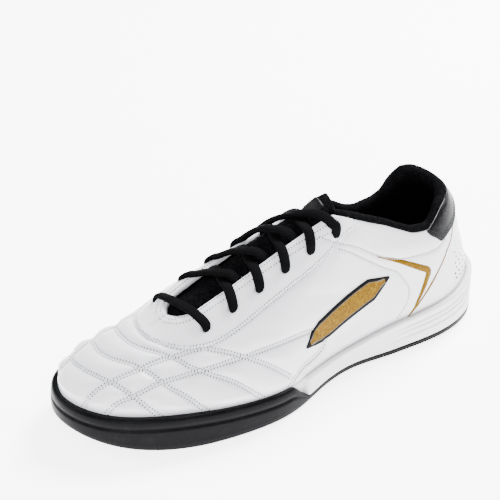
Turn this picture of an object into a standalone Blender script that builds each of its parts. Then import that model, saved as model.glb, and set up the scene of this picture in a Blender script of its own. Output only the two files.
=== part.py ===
"""Left indoor soccer shoe, EU 42, as an assembly of closed solids.

Shoe coordinates, in metres: s runs forward from the back of the sole, w to the
lateral side, h up from the floor. In the world the toe points to -Y and the
lateral side to +X, and the origin lies on the floor under the middle of the sole.
"""
import math
from collections import namedtuple

import bmesh
import bpy
import numpy as np
from mathutils import Matrix, Vector

# Driving sizes
SOLE_LENGTH = 0.288
HEEL_WIDTH = 0.072
WAIST_WIDTH = 0.067
BALL_WIDTH = 0.1015
INSTEP_HEIGHT = 0.107
TOE_HEIGHT = 0.0525
ANKLE_HEIGHT = 0.090
HEEL_LEAN = 0.009
TOE_FALL = 0.19
LEAN_END = 0.34

# Walls and clearances
UPPER_WALL = 0.0022
UPPER_INSET = 0.0035
GAP = 0.0003
SOFT_GAP = 0.00045
SEAT_GAP = 0.0006

# Sole
PLATE = 0.0042
TREAD_BEVEL = 0.0028
TREAD_ROUND = 0.0016
TOE_SPRING = 0.012
ARCH_RISE = 0.003
HEEL_BEVEL = 0.0025
BAND_HEIGHT = 0.027
BAND_LEAN = 0.0017
BAND_GROOVE = 0.0009
BAND_EDGE = (0.0075, 0.0066, 0.0056, 0.0047)
MIDSOLE_HEEL = 0.031
LIP_ROUND = 0.0012
RIB_DEPTH = 0.0011
RIB_FADE = 0.10
FLOOR_HEEL = 0.022
TREAD_GROOVE = 0.0024
TREAD_GROOVE_DEPTH = 0.0012
TREAD_PITCH = 0.0115
TREAD_ZIGZAG = 0.0040
TREAD_WAVE = 0.0170
TREAD_BORDER = 0.008
TREAD_AREAS = ((0.075, 0.25), (0.59, 0.93))
TREAD_ENDS = (0.04, 0.96)
INSOLE_THICKNESS = 0.003
SEAT_STEP = 0.004

# Throat, facing and lace
THROAT_END = 0.748
THROAT_ROUND = 0.045
THROAT_TOP = 0.40
THROAT_LOW = 0.0105
THROAT_HIGH = 0.0155
FACING = 0.0009
FACING_EDGE = 0.0010
EYELET_PAIRS = 6
EYELET_FIRST = 0.7104
EYELET_LAST = 0.402
EYELET_SET_LOW = 0.0125
EYELET_SET_HIGH = 0.0092
EYELET_MEDIAL_AHEAD = 0.0080
EYELET_MEDIAL_SET_LOW = 0.0085
EYELET_MEDIAL_SET_HIGH = 0.0060
EYELET_RADIUS = 0.0021
PUNCH_LENGTH = 0.009
LACE_WIDTH = 0.0050
LACE_THICKNESS = 0.0016
LACE_CLEAR = 0.0012
LACE_PAST_HOLE = 0.0015
LACE_EASE = 0.002
LACE_LOW = 0.0004
LACE_BAR_LOW = 0.0018
LACE_BAR_CLEAR = 0.0018
LACE_BITE = 0.0001
LACE_DIVE = 0.0006
LACE_SHORT = 0.9
LACE_STEPS = 9
TONGUE_PAD = 0.0042
TONGUE_COVER = 0.0075
TONGUE_GAP = 0.0011
TONGUE_TOP = 0.385
TONGUE_FRONT = 0.78
TONGUE_TIP_HALF = 0.0084
TONGUE_DROOP = 0.004
DROOP_START = 0.425
TONGUE_SHARES = (-1.0, -0.72, -0.36, 0.0, 0.36, 0.72, 1.0)

# Collar, heel tab and side flash
CUFF_RISE = 0.0040
CUFF_PAD = 0.0066
CUFF_DEPTH = 0.021
CUFF_GAP = 0.0009
CUFF_END = 0.385
CUFF_HEEL_SHARE = 0.55
CUFF_HEEL = (0.10, 0.18)
CUFF_ROOF = (0.0016, 0.0040)
CUFF_LIP = 0.0002
CUFF_THIN = 0.0012
TAB_THICKNESS = 0.0009
FLASH_THICKNESS = 0.0006
FLASH_HALF_WIDTH = 0.0078
FLASH_TIP = 0.22
FLASH_BLUNT = 0.015
FLASH_STEPS = 9

# The heel and toe columns fan out from these shares of the length
HEEL_CENTRE = 0.125
TOE_CENTRE = 0.80
HEEL_FAN = 6
TOE_FAN = 8
STATIONS = (0.125, 0.14, 0.157, 0.19, 0.23, 0.27, 0.31, 0.345, 0.372, 0.40, 0.44, 0.48, 0.515, 0.535,
            0.555, 0.575, 0.61, 0.655, 0.703, 0.725, 0.74, 0.748, 0.772, 0.80)

# Half widths of the tread edge as shares of a named width, at shares of the length
Outline = namedtuple("Outline", "at width lateral medial")
OUTLINE = [
    Outline(0.02, HEEL_WIDTH, 0.250, 0.250),
    Outline(0.07, HEEL_WIDTH, 0.415, 0.410),
    Outline(0.15, HEEL_WIDTH, 0.508, 0.486),
    Outline(0.27, HEEL_WIDTH, 0.512, 0.445),
    Outline(0.38, WAIST_WIDTH, 0.560, 0.440),
    Outline(0.48, WAIST_WIDTH, 0.645, 0.485),
    Outline(0.58, BALL_WIDTH, 0.510, 0.400),
    Outline(0.68, BALL_WIDTH, 0.518, 0.482),
    Outline(0.78, BALL_WIDTH, 0.475, 0.478),
    Outline(0.87, BALL_WIDTH, 0.398, 0.418),
    Outline(0.94, BALL_WIDTH, 0.282, 0.345),
    Outline(0.985, BALL_WIDTH, 0.115, 0.220),
]
TOE_TIP_SIDE = -0.062

# The spine, over which the two sides of the upper meet, as shares of the ball width
Spine = namedtuple("Spine", "at side")
SPINE = [
    Spine(0.125, 0.0),
    Spine(0.30, -0.005),
    Spine(0.45, -0.015),
    Spine(0.70, -0.015),
    Spine(0.80, -0.030),
]

# Sections of the upper: ridge height, and on each side how far the wall bulges out,
# how high it stays upright and how far it stays level beside the ridge
Form = namedtuple("Form", "at size ridge lat_bulge lat_upright lat_level med_bulge med_upright med_level")
FORM = [
    Form(0.000, INSTEP_HEIGHT, 1.196, 0.000, 0.45, 0.30, 0.000, 0.45, 0.30),
    Form(0.125, INSTEP_HEIGHT, 1.196, 0.000, 0.45, 0.30, 0.000, 0.45, 0.30),
    Form(0.260, INSTEP_HEIGHT, 1.178, 0.000, 0.42, 0.32, 0.000, 0.42, 0.32),
    Form(0.340, INSTEP_HEIGHT, 1.121, 0.000, 0.46, 0.45, 0.000, 0.46, 0.45),
    Form(0.420, INSTEP_HEIGHT, 1.000, 0.000, 0.50, 0.60, 0.010, 0.50, 0.55),
    Form(0.520, INSTEP_HEIGHT, 0.850, 0.000, 0.46, 0.60, 0.010, 0.52, 0.55),
    Form(0.620, INSTEP_HEIGHT, 0.710, 0.000, 0.44, 0.60, 0.010, 0.54, 0.55),
    Form(0.720, TOE_HEIGHT, 1.210, 0.005, 0.44, 0.60, 0.010, 0.55, 0.55),
    Form(0.800, TOE_HEIGHT, 1.000, 0.005, 0.48, 0.60, 0.008, 0.56, 0.58),
    Form(1.000, TOE_HEIGHT, 1.000, 0.005, 0.58, 0.62, 0.005, 0.62, 0.62),
]

# Top edge of the upper on each side, as shares of the ankle height
Collar = namedtuple("Collar", "at lateral medial")
COLLAR = [
    Collar(0.000, 1.000, 1.000),
    Collar(0.045, 0.983, 1.044),
    Collar(0.075, 0.961, 1.067),
    Collar(0.100, 0.939, 1.061),
    Collar(0.125, 0.894, 1.000),
    Collar(0.155, 0.839, 0.856),
    Collar(0.190, 0.850, 0.817),
    Collar(0.230, 0.900, 0.817),
    Collar(0.270, 0.956, 0.850),
    Collar(0.310, 1.006, 0.922),
    Collar(0.345, 1.056, 0.994),
    Collar(0.372, 1.094, 1.056),
    Collar(0.400, 1.128, 1.122),
    Collar(0.440, 1.244, 1.244),
]

# Heights along the sole, as shares of the size named in the comment
Height = namedtuple("Height", "at share")
# of FLOOR_HEEL: where the upper stands in the midsole
FLOOR = [
    Height(0.00, 1.000), Height(0.10, 0.977), Height(0.25, 0.909), Height(0.45, 0.636),
    Height(0.60, 0.455), Height(0.75, 0.477), Height(0.88, 0.636), Height(1.00, 0.818),
]
# of MIDSOLE_HEEL: top of the white side wall
MIDSOLE_TOP = [
    Height(0.00, 1.000), Height(0.12, 0.823), Height(0.25, 0.742), Height(0.40, 0.597),
    Height(0.50, 0.565), Height(0.56, 0.565), Height(0.60, 0.480), Height(1.00, 0.480),
]
# of BAND_HEIGHT: top of the black toe band
BAND_TOP = [
    Height(0.50, 0.620), Height(0.58, 0.670), Height(0.70, 0.759), Height(0.88, 0.926), Height(1.00, 1.000),
]
BAND_START = 0.515
BAND_FULL = 0.572
RIB_END = 0.31
FLAT_ARCH = (0.27, 0.57)
SPRING_START = 0.74
BEVEL_END = 0.06

# Distance of the facing's outer edge from the spine, along the face, as shares of the ball width
Facing = namedtuple("Facing", "at reach")
FACING_REACH = [
    Facing(0.40, 0.370), Facing(0.55, 0.345), Facing(0.68, 0.315), Facing(0.703, 0.307),
    Facing(0.725, 0.298), Facing(0.748, 0.268), Facing(0.772, 0.205), Facing(0.80, 0.118),
]

# How far the heel tab hangs below the top edge
Tab = namedtuple("Tab", "at drop")
TAB_DROP = [
    Tab(0.000, 0.0105), Tab(0.050, 0.0130), Tab(0.090, 0.0165), Tab(0.125, 0.0150), Tab(0.140, 0.0085),
    Tab(0.157, 0.0020),
]

# Two grooves between ribs round the heel, as shares of the white wall's height and of RIB_DEPTH
Rib = namedtuple("Rib", "share depth")
RIB_ROWS = [Rib(0.30, 0), Rib(0.38, 1), Rib(0.46, 0), Rib(0.58, 0), Rib(0.66, 1), Rib(0.74, 0)]

# Ends of the side flash: share of the length, share of the ankle height
FLASH_FRONT = (0.520, 0.405)
FLASH_REAR = (0.285, 0.615)


def follow(table, at, column, scale=None):
    """Read a table's column at a share of the length, by a monotone cubic."""
    xs = [row.at for row in table]
    ys = [getattr(row, column) * (getattr(row, scale) if scale else 1.0) for row in table]
    at = min(max(at, xs[0]), xs[-1])
    steps = [xs[i + 1] - xs[i] for i in range(len(xs) - 1)]
    slopes = [(ys[i + 1] - ys[i]) / steps[i] for i in range(len(steps))]
    tangents = [slopes[0]]
    for i in range(1, len(slopes)):
        before, after = slopes[i - 1], slopes[i]
        if before * after <= 0.0:
            tangents.append(0.0)
        else:
            one, two = 2 * steps[i] + steps[i - 1], steps[i] + 2 * steps[i - 1]
            tangents.append((one + two) / (one / before + two / after))
    tangents.append(slopes[-1])
    i = max(k for k in range(len(steps)) if xs[k] <= at)
    t = (at - xs[i]) / steps[i]
    start = (1 + 2 * t) * (1 - t) ** 2 * ys[i] + t * (1 - t) ** 2 * steps[i] * tangents[i]
    end = t * t * (3 - 2 * t) * ys[i + 1] + t * t * (t - 1) * steps[i] * tangents[i + 1]
    return start + end


def ease(value):
    """Smooth step from 0 to 1."""
    value = min(max(value, 0.0), 1.0)
    return value * value * (3 - 2 * value)


def closed_spline(points, samples=24):
    """Periodic cubic spline through plan points."""
    count = len(points)
    span = np.linalg.norm(np.roll(points, -1, 0) - points, axis=1) ** 0.75
    matrix = np.zeros((count, count))
    rhs = np.zeros((count, 2))
    for i in range(count):
        after = (i + 1) % count
        matrix[i, i - 1] += span[i - 1]
        matrix[i, i] += 2 * (span[i - 1] + span[i])
        matrix[i, after] += span[i]
        rhs[i] = 6 * ((points[after] - points[i]) / span[i] - (points[i] - points[i - 1]) / span[i - 1])
    bend = np.linalg.solve(matrix, rhs)
    pieces = []
    for i in range(count):
        after = (i + 1) % count
        t = np.linspace(0, span[i], samples, endpoint=False)[:, None]
        cubic = (bend[after] - bend[i]) / (6 * span[i])
        linear = (points[after] - points[i]) / span[i] - span[i] * (2 * bend[i] + bend[after]) / 6
        pieces.append(points[i] + linear * t + bend[i] / 2 * t ** 2 + cubic * t ** 3)
    return np.concatenate(pieces)


def tread_edge():
    """Plan curve of the tread edge: heel, lateral side, toe, medial side."""
    lateral = [(0.0, 0.0)] + [(row.at * SOLE_LENGTH, row.width * row.lateral) for row in OUTLINE]
    medial = [(row.at * SOLE_LENGTH, -row.width * row.medial) for row in reversed(OUTLINE)]
    tip = [(SOLE_LENGTH, TOE_TIP_SIDE * BALL_WIDTH)]
    return closed_spline(np.array(lateral + tip + medial))


def inset_halves(edge, inset):
    """Lateral and medial halves of the edge moved inwards, both from heel to toe."""
    along = np.roll(edge, -1, 0) - np.roll(edge, 1, 0)
    along /= np.linalg.norm(along, axis=1)[:, None]
    moved = edge + inset * np.c_[along[:, 1], -along[:, 0]]
    moved = np.roll(moved, -int(np.argmin(moved[:, 0])), 0)
    toe = int(np.argmax(moved[:, 0]))
    return moved[:toe + 1], np.r_[moved[toe:], moved[:1]][::-1]


EDGE = tread_edge()
HALVES = inset_halves(EDGE, 0.0)
UPPER_HALVES = inset_halves(EDGE, UPPER_INSET)

# A column is one upright section of the shoe: its place, its foot on the tread edge,
# its foot under the upper, the spine point it runs to, and its share for the sole's tables
Column = namedtuple("Column", "at side edge foot spine share")


def spine_point(at):
    """Plan point of the spine at a share of the length."""
    at = min(max(at, HEEL_CENTRE), TOE_CENTRE)
    return np.array((at * SOLE_LENGTH, follow(SPINE, at, "side") * BALL_WIDTH))


def column(at, side):
    """The section at a share of the length, on the lateral (1) or medial (-1) side."""
    spine = spine_point(at)
    feet = []
    for halves in (HALVES, UPPER_HALVES):
        half = halves[0] if side > 0 else halves[1]
        if HEEL_CENTRE <= at <= TOE_CENTRE:
            feet.append(np.array((at * SOLE_LENGTH, np.interp(at * SOLE_LENGTH, half[:, 0], half[:, 1]))))
            continue
        forward = -1 if at < HEEL_CENTRE else 1
        turn = at / HEEL_CENTRE if at < HEEL_CENTRE else (1 - at) / (1 - TOE_CENTRE)
        away = half - spine
        angles = np.arctan2(side * away[:, 1], forward * away[:, 0])
        order = np.argsort(angles)
        radius = np.interp(turn * math.pi / 2, angles[order], np.hypot(away[:, 0], away[:, 1])[order])
        direction = np.array((forward * math.cos(turn * math.pi / 2), side * math.sin(turn * math.pi / 2)))
        feet.append(spine + radius * direction)
    return Column(at, side, feet[0], feet[1], spine, feet[0][0] / SOLE_LENGTH)


def ring_columns():
    """All columns round the shoe: heel, lateral side, toe, medial side."""
    heel = [HEEL_CENTRE * k / HEEL_FAN for k in range(HEEL_FAN)]
    toe = [TOE_CENTRE + (1 - TOE_CENTRE) * k / TOE_FAN for k in range(1, TOE_FAN + 1)]
    places = heel + list(STATIONS) + toe
    return [column(at, 1) for at in places] + [column(at, -1) for at in reversed(places[1:-1])]


COLUMNS = ring_columns()
S_MIDDLE = (min(c.edge[0] for c in COLUMNS) + max(c.edge[0] for c in COLUMNS)) / 2
W_MIDDLE = (min(c.edge[1] for c in COLUMNS) + max(c.edge[1] for c in COLUMNS)) / 2


def world(s, w, h):
    """World point of shoe coordinates."""
    return Vector((w - W_MIDDLE, S_MIDDLE - s, h))


# Sole heights


def tread(s):
    """Height of the tread at a distance from the back: heel bevel, arch and toe spring."""
    at = s / SOLE_LENGTH
    height = HEEL_BEVEL * max(0.0, (BEVEL_END - at) / BEVEL_END) ** 2
    if FLAT_ARCH[0] < at < FLAT_ARCH[1]:
        height += ARCH_RISE * math.sin(math.pi * (at - FLAT_ARCH[0]) / (FLAT_ARCH[1] - FLAT_ARCH[0])) ** 2
    return height + TOE_SPRING * max(0.0, (at - SPRING_START) / (1 - SPRING_START)) ** 2


def plate_top(s):
    """Top of the black plate under the whole foot."""
    return tread(s) + PLATE


def band_share(c):
    """0 behind the toe band, 1 where it has its full height."""
    return ease((c.share - BAND_START) / (BAND_FULL - BAND_START))


def wall_top(c):
    """Top of the outsole's edge: the plate behind, the toe band in front."""
    low = plate_top(c.edge[0])
    return low + band_share(c) * (follow(BAND_TOP, c.share, "share") * BAND_HEIGHT - low)


def floor_height(at):
    """Height at which the upper and the insole stand in the midsole."""
    return follow(FLOOR, at, "share") * FLOOR_HEEL


def midsole_top(c):
    """Top of the midsole's side wall."""
    return follow(MIDSOLE_TOP, c.share, "share") * MIDSOLE_HEEL


# The upper's own function


def lean(at, h):
    """How far the heel leans forward at a height."""
    fade = 1 - ease((at - HEEL_CENTRE) / (LEAN_END - HEEL_CENTRE))
    base = floor_height(at)
    return HEEL_LEAN * fade * (h - base) / (ANKLE_HEIGHT - base)


def lift(c, inward, h):
    """Shoe point of a place in a column's own plane."""
    along = c.spine - c.foot
    along = along / np.linalg.norm(along)
    s, w = c.foot + along * inward
    return s + lean(c.at, h), w, h


def profile(c, q):
    """Place on the upper's outer face in the column's plane, q from 0 (sole) to 1 (spine)."""
    side = "lat" if c.side > 0 else "med"
    ridge = follow(FORM, c.at, "ridge", "size")
    bulge = follow(FORM, c.at, side + "_bulge") * BALL_WIDTH
    upright = follow(FORM, c.at, side + "_upright")
    level = follow(FORM, c.at, side + "_level")
    run = c.spine - c.foot
    reach = float(np.linalg.norm(run))
    base = floor_height(c.at)
    fall = TOE_FALL * max(0.0, -run[0] / reach) if c.at > TOE_CENTRE else 0.0
    corners = np.array((
        (0.0, base),
        (-bulge, base + upright * (ridge - base)),
        (reach * (1 - level), ridge - fall * level * reach),
        (reach, ridge),
    ))
    q = np.atleast_1d(np.asarray(q, float))[:, None]
    weights = np.hstack(((1 - q) ** 3, 3 * q * (1 - q) ** 2, 3 * q * q * (1 - q), q ** 3))
    return weights @ corners


FINE = np.linspace(0, 1, 161)
FACE_STEP = 0.002
NORMAL_STEP = 0.001


def throat_side(at):
    """Half width between the throat's sides, without its round end."""
    return THROAT_LOW + (THROAT_HIGH - THROAT_LOW) * (THROAT_END - at) / (THROAT_END - THROAT_TOP)


def throat_half_width(at):
    """Half width of the throat, 0 in front of its round end."""
    if at >= THROAT_END:
        return 0.0
    half = throat_side(at)
    start = THROAT_END - THROAT_ROUND
    if at > start:
        half *= math.sqrt(1 - ((at - start) / THROAT_ROUND) ** 2)
    return half


def q_at_distance(c, distance):
    """q where the outer face lies this far from the spine in plan."""
    face = profile(c, FINE)
    remaining = np.linalg.norm(c.spine - c.foot) - face[:, 0]
    return float(np.interp(-distance, -remaining, FINE))


def q_at_height(c, h):
    """q where the outer face has this height."""
    face = profile(c, FINE)
    return float(np.interp(h, face[:, 1], FINE)) if face[-1, 1] > h else 1.0


def q_below(c, q, distance):
    """q that lies a distance below another along the face."""
    fine = np.linspace(0, q, 121)
    face = profile(c, fine)
    steps = np.linalg.norm(np.diff(face, axis=0), axis=1)
    length = np.concatenate(((0.0,), np.cumsum(steps)))
    return float(np.interp(length[-1] - distance, length, fine))


def q_top(c):
    """q of the upper's top edge: the collar, the throat or the spine."""
    top = 1.0
    if c.at <= COLLAR[-1].at:
        side = "lateral" if c.side > 0 else "medial"
        top = q_at_height(c, follow(COLLAR, c.at, side) * ANKLE_HEIGHT)
    if COLLAR[-4].at <= c.at and throat_half_width(c.at) > 0:
        top = min(top, q_at_distance(c, throat_half_width(c.at)))
    return top


def q_facing(c):
    """q of the facing's outer edge, and of a like line below the collar and round the toe."""
    if c.at < THROAT_TOP:
        return q_below(c, q_top(c), CUFF_DEPTH)
    if c.at > TOE_CENTRE:
        return q_below(c, 1.0, FACING_REACH[-1].reach * BALL_WIDTH)
    return q_below(c, 1.0, follow(FACING_REACH, c.at, "reach") * BALL_WIDTH)


def on_face(c, q, out=0.0):
    """Shoe point on the upper's outer face, moved out along its normal."""
    place = profile(c, q)[0]
    if q >= 1.0:
        return lift(c, place[0], place[1] + out)
    near = profile(c, (max(0.0, q - FACE_STEP), min(1.0, q + FACE_STEP)))
    up = (near[1] - near[0]) / np.linalg.norm(near[1] - near[0])
    return lift(c, place[0] - up[1] * out, place[1] + up[0] * out)


# Mesh helpers


def material(name, colour, roughness, metallic=0.0):
    """One Principled material."""
    made = bpy.data.materials.new(name)
    made.use_nodes = True
    shader = made.node_tree.nodes["Principled BSDF"]
    shader.inputs["Base Color"].default_value = (*colour, 1.0)
    shader.inputs["Roughness"].default_value = roughness
    shader.inputs["Metallic"].default_value = metallic
    return made


def grid_mesh(rows, closed):
    """Faces between rows of shoe points, each row running the same way along the shoe."""
    bm = bmesh.new()
    verts = [[bm.verts.new(world(*point)) for point in row] for row in rows]
    count = len(rows[0])
    for low, high in zip(verts, verts[1:]):
        for j in range(count if closed else count - 1):
            k = (j + 1) % count
            bm.faces.new((low[j], high[j], high[k], low[k]))
    bmesh.ops.remove_doubles(bm, verts=bm.verts, dist=1e-6)
    return bm


def finish_mesh(name, bm, surface, parts, outward=True):
    """Turn a bmesh into an object of the shoe."""
    if outward:
        bmesh.ops.recalc_face_normals(bm, faces=bm.faces)
    mesh = bpy.data.meshes.new(name)
    bm.to_mesh(mesh)
    bm.free()
    mesh.materials.append(surface)
    mesh.shade_smooth()
    made = bpy.data.objects.new(name, mesh)
    parts.objects.link(made)
    return made


def thicken(made, thickness, offset):
    """Give an open surface its wall."""
    wall = made.modifiers.new("wall", "SOLIDIFY")
    wall.thickness = thickness
    wall.offset = offset
    wall.use_rim = True


def cut(made, tool):
    """Subtract a cutter."""
    boolean = made.modifiers.new("cut", "BOOLEAN")
    boolean.operation = "DIFFERENCE"
    boolean.solver = "EXACT"
    boolean.object = tool


def cutter(name, bm, tools):
    """An object that only cuts others."""
    bmesh.ops.recalc_face_normals(bm, faces=bm.faces)
    mesh = bpy.data.meshes.new(name)
    bm.to_mesh(mesh)
    bm.free()
    made = bpy.data.objects.new(name, mesh)
    made.hide_render = True
    made.display_type = "WIRE"
    tools.objects.link(made)
    return made


def sole_point(c, inset, h):
    """Shoe point a distance inside the tread edge."""
    move = (c.foot - c.edge) / UPPER_INSET
    s, w = c.edge + move * inset
    return s, w, h


def halfway(c, inset, height):
    """Shoe point halfway from an inset to the spine, at a height that depends on s."""
    s, w, _ = sole_point(c, inset, 0.0)
    s, w = (s + c.spine[0]) / 2, (w + c.spine[1]) / 2
    return s, w, height(s)


def plate_point(c, inset):
    """Shoe point on the flat strip from the plate's edge to half way to the spine."""
    s, w, _ = sole_point(c, inset, 0.0)
    half = halfway(c, 0.0, plate_top)
    low = plate_top(c.edge[0])
    share = math.hypot(s - c.edge[0], w - c.edge[1]) / math.hypot(half[0] - c.edge[0], half[1] - c.edge[1])
    return s, w, low + share * (half[2] - low)


def over_spine(c, height):
    """Shoe point on the spine."""
    return c.spine[0], c.spine[1], height(c.spine[0])


def beside_upper(c, h, gap):
    """Shoe point just outside the upper's outer face at a height."""
    face = profile(c, FINE)
    inward = float(np.interp(h, face[:, 1], face[:, 0]))
    return lift(c, inward - gap, h)


# Sole pieces


def build_outsole(parts, tools, surface):
    """Black rubber: a thin plate under heel and arch, rising as a band round the toe."""
    rows = [[] for _ in range(15)]
    for c in COLUMNS:
        band = band_share(c)
        top = wall_top(c)
        foot = sole_point(c, TREAD_BEVEL, 0.0)
        outer = sole_point(c, BAND_LEAN * band, top)
        inner = [outer] * 4
        if band > 0:
            base = min(floor_height(c.at), top)
            inner = [beside_upper(c, h, SOFT_GAP) for h in (top, (top + base) / 2, base)]
            inner.append(plate_point(c, UPPER_INSET))
        column_points = (
            over_spine(c, tread),
            halfway(c, TREAD_BEVEL, tread),
            (foot[0], foot[1], tread(foot[0])),
            sole_point(c, 0.0, tread(c.edge[0]) + TREAD_ROUND),
            sole_point(c, 0.0, top - BAND_EDGE[0] * band),
            sole_point(c, BAND_GROOVE * band, top - BAND_EDGE[1] * band),
            sole_point(c, BAND_GROOVE * band, top - BAND_EDGE[2] * band),
            sole_point(c, BAND_GROOVE * band / 3, top - BAND_EDGE[3] * band),
            outer,
            *inner,
            halfway(c, 0.0, plate_top),
        )
        for row, point in zip(rows, column_points + (over_spine(c, plate_top),)):
            row.append(point)
    made = finish_mesh("outsole", grid_mesh(rows, True), surface, parts)
    cut(made, build_tread_cutter(tools))
    return made


def inside_edge(s, w, border):
    """Whether a plan point lies inside the tread edge by at least a border."""
    at = s / SOLE_LENGTH
    if not TREAD_ENDS[0] < at < TREAD_ENDS[1]:
        return False
    lateral = np.interp(s, HALVES[0][:, 0], HALVES[0][:, 1])
    medial = np.interp(s, HALVES[1][:, 0], HALVES[1][:, 1])
    return medial + border < w < lateral - border


def build_tread_cutter(tools):
    """Zigzag grooves across heel and forefoot, between the main lugs."""
    bm = bmesh.new()
    for start, end in TREAD_AREAS:
        count = int((end - start) * SOLE_LENGTH / TREAD_PITCH)
        for k in range(count + 1):
            s_row = start * SOLE_LENGTH + k * TREAD_PITCH
            path = []
            steps = int(BALL_WIDTH / TREAD_WAVE * 2)
            for i in range(-steps, steps + 1):
                w = i * TREAD_WAVE / 2
                s = s_row + (TREAD_ZIGZAG if i % 2 else -TREAD_ZIGZAG) / 2
                if inside_edge(s, w, TREAD_BORDER):
                    path.append((s, w))
            rows = []
            for side, rise in ((-1, 0), (1, 0), (1, 1), (-1, 1)):
                row = []
                for s, w in path:
                    top = tread(s) + TREAD_GROOVE_DEPTH if rise else -TREAD_PITCH
                    row.append((s + side * TREAD_GROOVE / 2, w, top))
                rows.append(row)
            verts = [[bm.verts.new(world(*point)) for point in row] for row in rows]
            for a in range(4):
                low, high = verts[a], verts[(a + 1) % 4]
                for j in range(len(path) - 1):
                    bm.faces.new((low[j], high[j], high[j + 1], low[j + 1]))
            bm.faces.new([row[0] for row in verts])
            bm.faces.new([row[-1] for row in verts])
    return cutter("tread_grooves", bm, tools)


def build_midsole(parts, tools, surface):
    """White foam wedge: a cup that the upper stands in, with two ribs round the heel."""
    rows = [[] for _ in range(16)]
    for c in COLUMNS:
        low = plate_top(c.edge[0]) + GAP
        top = midsole_top(c)
        shoulder = top - LIP_ROUND
        fade = ease((RIB_END - c.share) / RIB_FADE)
        floor = floor_height(c.at) - SEAT_GAP
        sides = []
        for row in RIB_ROWS:
            share = row.share if fade > 0 else 0.5
            sides.append(sole_point(c, RIB_DEPTH * row.depth * fade, low + share * (shoulder - low)))
        column_points = [
            over_spine(c, lambda s: plate_top(s) + GAP),
            halfway(c, 0.0, lambda s: plate_top(s) + GAP),
            sole_point(c, 0.0, low),
            *sides,
            sole_point(c, 0.0, shoulder),
            sole_point(c, LIP_ROUND, top),
            beside_upper(c, top, SOFT_GAP),
            beside_upper(c, floor, SOFT_GAP),
            sole_point(c, UPPER_INSET + SEAT_STEP, floor),
        ]
        middle = halfway(c, UPPER_INSET + SEAT_STEP, lambda s: 0.0)
        column_points.append((middle[0], middle[1], floor))
        column_points.append((c.spine[0], c.spine[1], floor_height(c.spine[0] / SOLE_LENGTH) - SEAT_GAP))
        for row, point in zip(rows, column_points):
            row.append(point)
    made = finish_mesh("midsole", grid_mesh(rows, True), surface, parts)
    cut(made, build_band_cutter(tools))
    return made


def build_band_cutter(tools):
    """The room of the toe band and its clearance, taken out of the midsole."""
    rows = [[] for _ in range(4)]
    for c in COLUMNS:
        low = -PLATE
        top = wall_top(c) + (GAP if band_share(c) > 0 else GAP / 2)
        if c.share > BAND_FULL:
            top += MIDSOLE_HEEL
        for row, point in zip(rows, (
            sole_point(c, UPPER_INSET + GAP * 2, low),
            sole_point(c, -UPPER_INSET, low),
            sole_point(c, -UPPER_INSET, top),
            sole_point(c, UPPER_INSET + GAP * 2, top),
        )):
            row.append(point)
    rows.append(rows[0])
    return cutter("band_room", grid_mesh(rows, True), tools)


def build_insole(parts, surface):
    """Black sockliner inside the upper."""
    inset = UPPER_INSET + UPPER_WALL + 2 * SOFT_GAP
    rows = [[] for _ in range(6)]
    for c in COLUMNS:
        low = floor_height(c.at)
        middle = halfway(c, inset, lambda s: 0.0)
        spine_floor = floor_height(c.spine[0] / SOLE_LENGTH)
        for row, point in zip(rows, (
            (c.spine[0], c.spine[1], spine_floor),
            (middle[0], middle[1], low),
            sole_point(c, inset, low),
            sole_point(c, inset, low + INSOLE_THICKNESS),
            (middle[0], middle[1], low + INSOLE_THICKNESS),
            (c.spine[0], c.spine[1], spine_floor + INSOLE_THICKNESS),
        )):
            row.append(point)
    return finish_mesh("insole", grid_mesh(rows, True), surface, parts)


# Upper pieces


def upper_q_rows(c, low_rows=5, high_rows=3):
    """The q of each row, with one row along the facing's outer edge."""
    middle, top = q_facing(c), q_top(c)
    rows = [middle * i / low_rows for i in range(low_rows)]
    return rows + [middle + (top - middle) * i / high_rows for i in range(high_rows + 1)]


def build_upper(parts, tools, surface):
    """White leather shell: one hollow wall, open at collar, throat and underneath."""
    rows = []
    for c in COLUMNS:
        rows.append([on_face(c, q) for q in upper_q_rows(c)])
    made = finish_mesh("upper", grid_mesh(list(zip(*rows)), True), surface, parts, outward=False)
    thicken(made, UPPER_WALL, -1.0)
    cut(made, tools.objects["eyelet_punch"])
    return made


def eyelet_place(pair, side):
    """Share of the length and distance below the throat's side of a lace hole, pair 1 at the toe end."""
    share = (pair - 1) / (EYELET_PAIRS - 1)
    at = EYELET_FIRST + (EYELET_LAST - EYELET_FIRST) * share
    if side > 0:
        return at, EYELET_SET_LOW + (EYELET_SET_HIGH - EYELET_SET_LOW) * share
    at += EYELET_MEDIAL_AHEAD / SOLE_LENGTH
    return at, EYELET_MEDIAL_SET_LOW + (EYELET_MEDIAL_SET_HIGH - EYELET_MEDIAL_SET_LOW) * share


def eyelet_frame(pair, side):
    """Column, q, world point and outward direction of a lace hole."""
    at, drop = eyelet_place(pair, side)
    c = column(at, side)
    q = q_below(c, q_at_distance(c, throat_side(at)), drop)
    point = world(*on_face(c, q))
    outward = (world(*on_face(c, q, NORMAL_STEP)) - point).normalized()
    return c, q, point, outward


def build_eyelet_punch(tools):
    """Twelve pins that punch the lace holes."""
    bm = bmesh.new()
    for pair in range(1, EYELET_PAIRS + 1):
        for side in (1, -1):
            _, _, point, outward = eyelet_frame(pair, side)
            turn = outward.to_track_quat("Z", "Y").to_matrix().to_4x4()
            bmesh.ops.create_cone(bm, cap_ends=True, segments=9, radius1=EYELET_RADIUS,
                                  radius2=EYELET_RADIUS, depth=PUNCH_LENGTH,
                                  matrix=Matrix.Translation(point) @ turn)
    return cutter("eyelet_punch", bm, tools)


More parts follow.
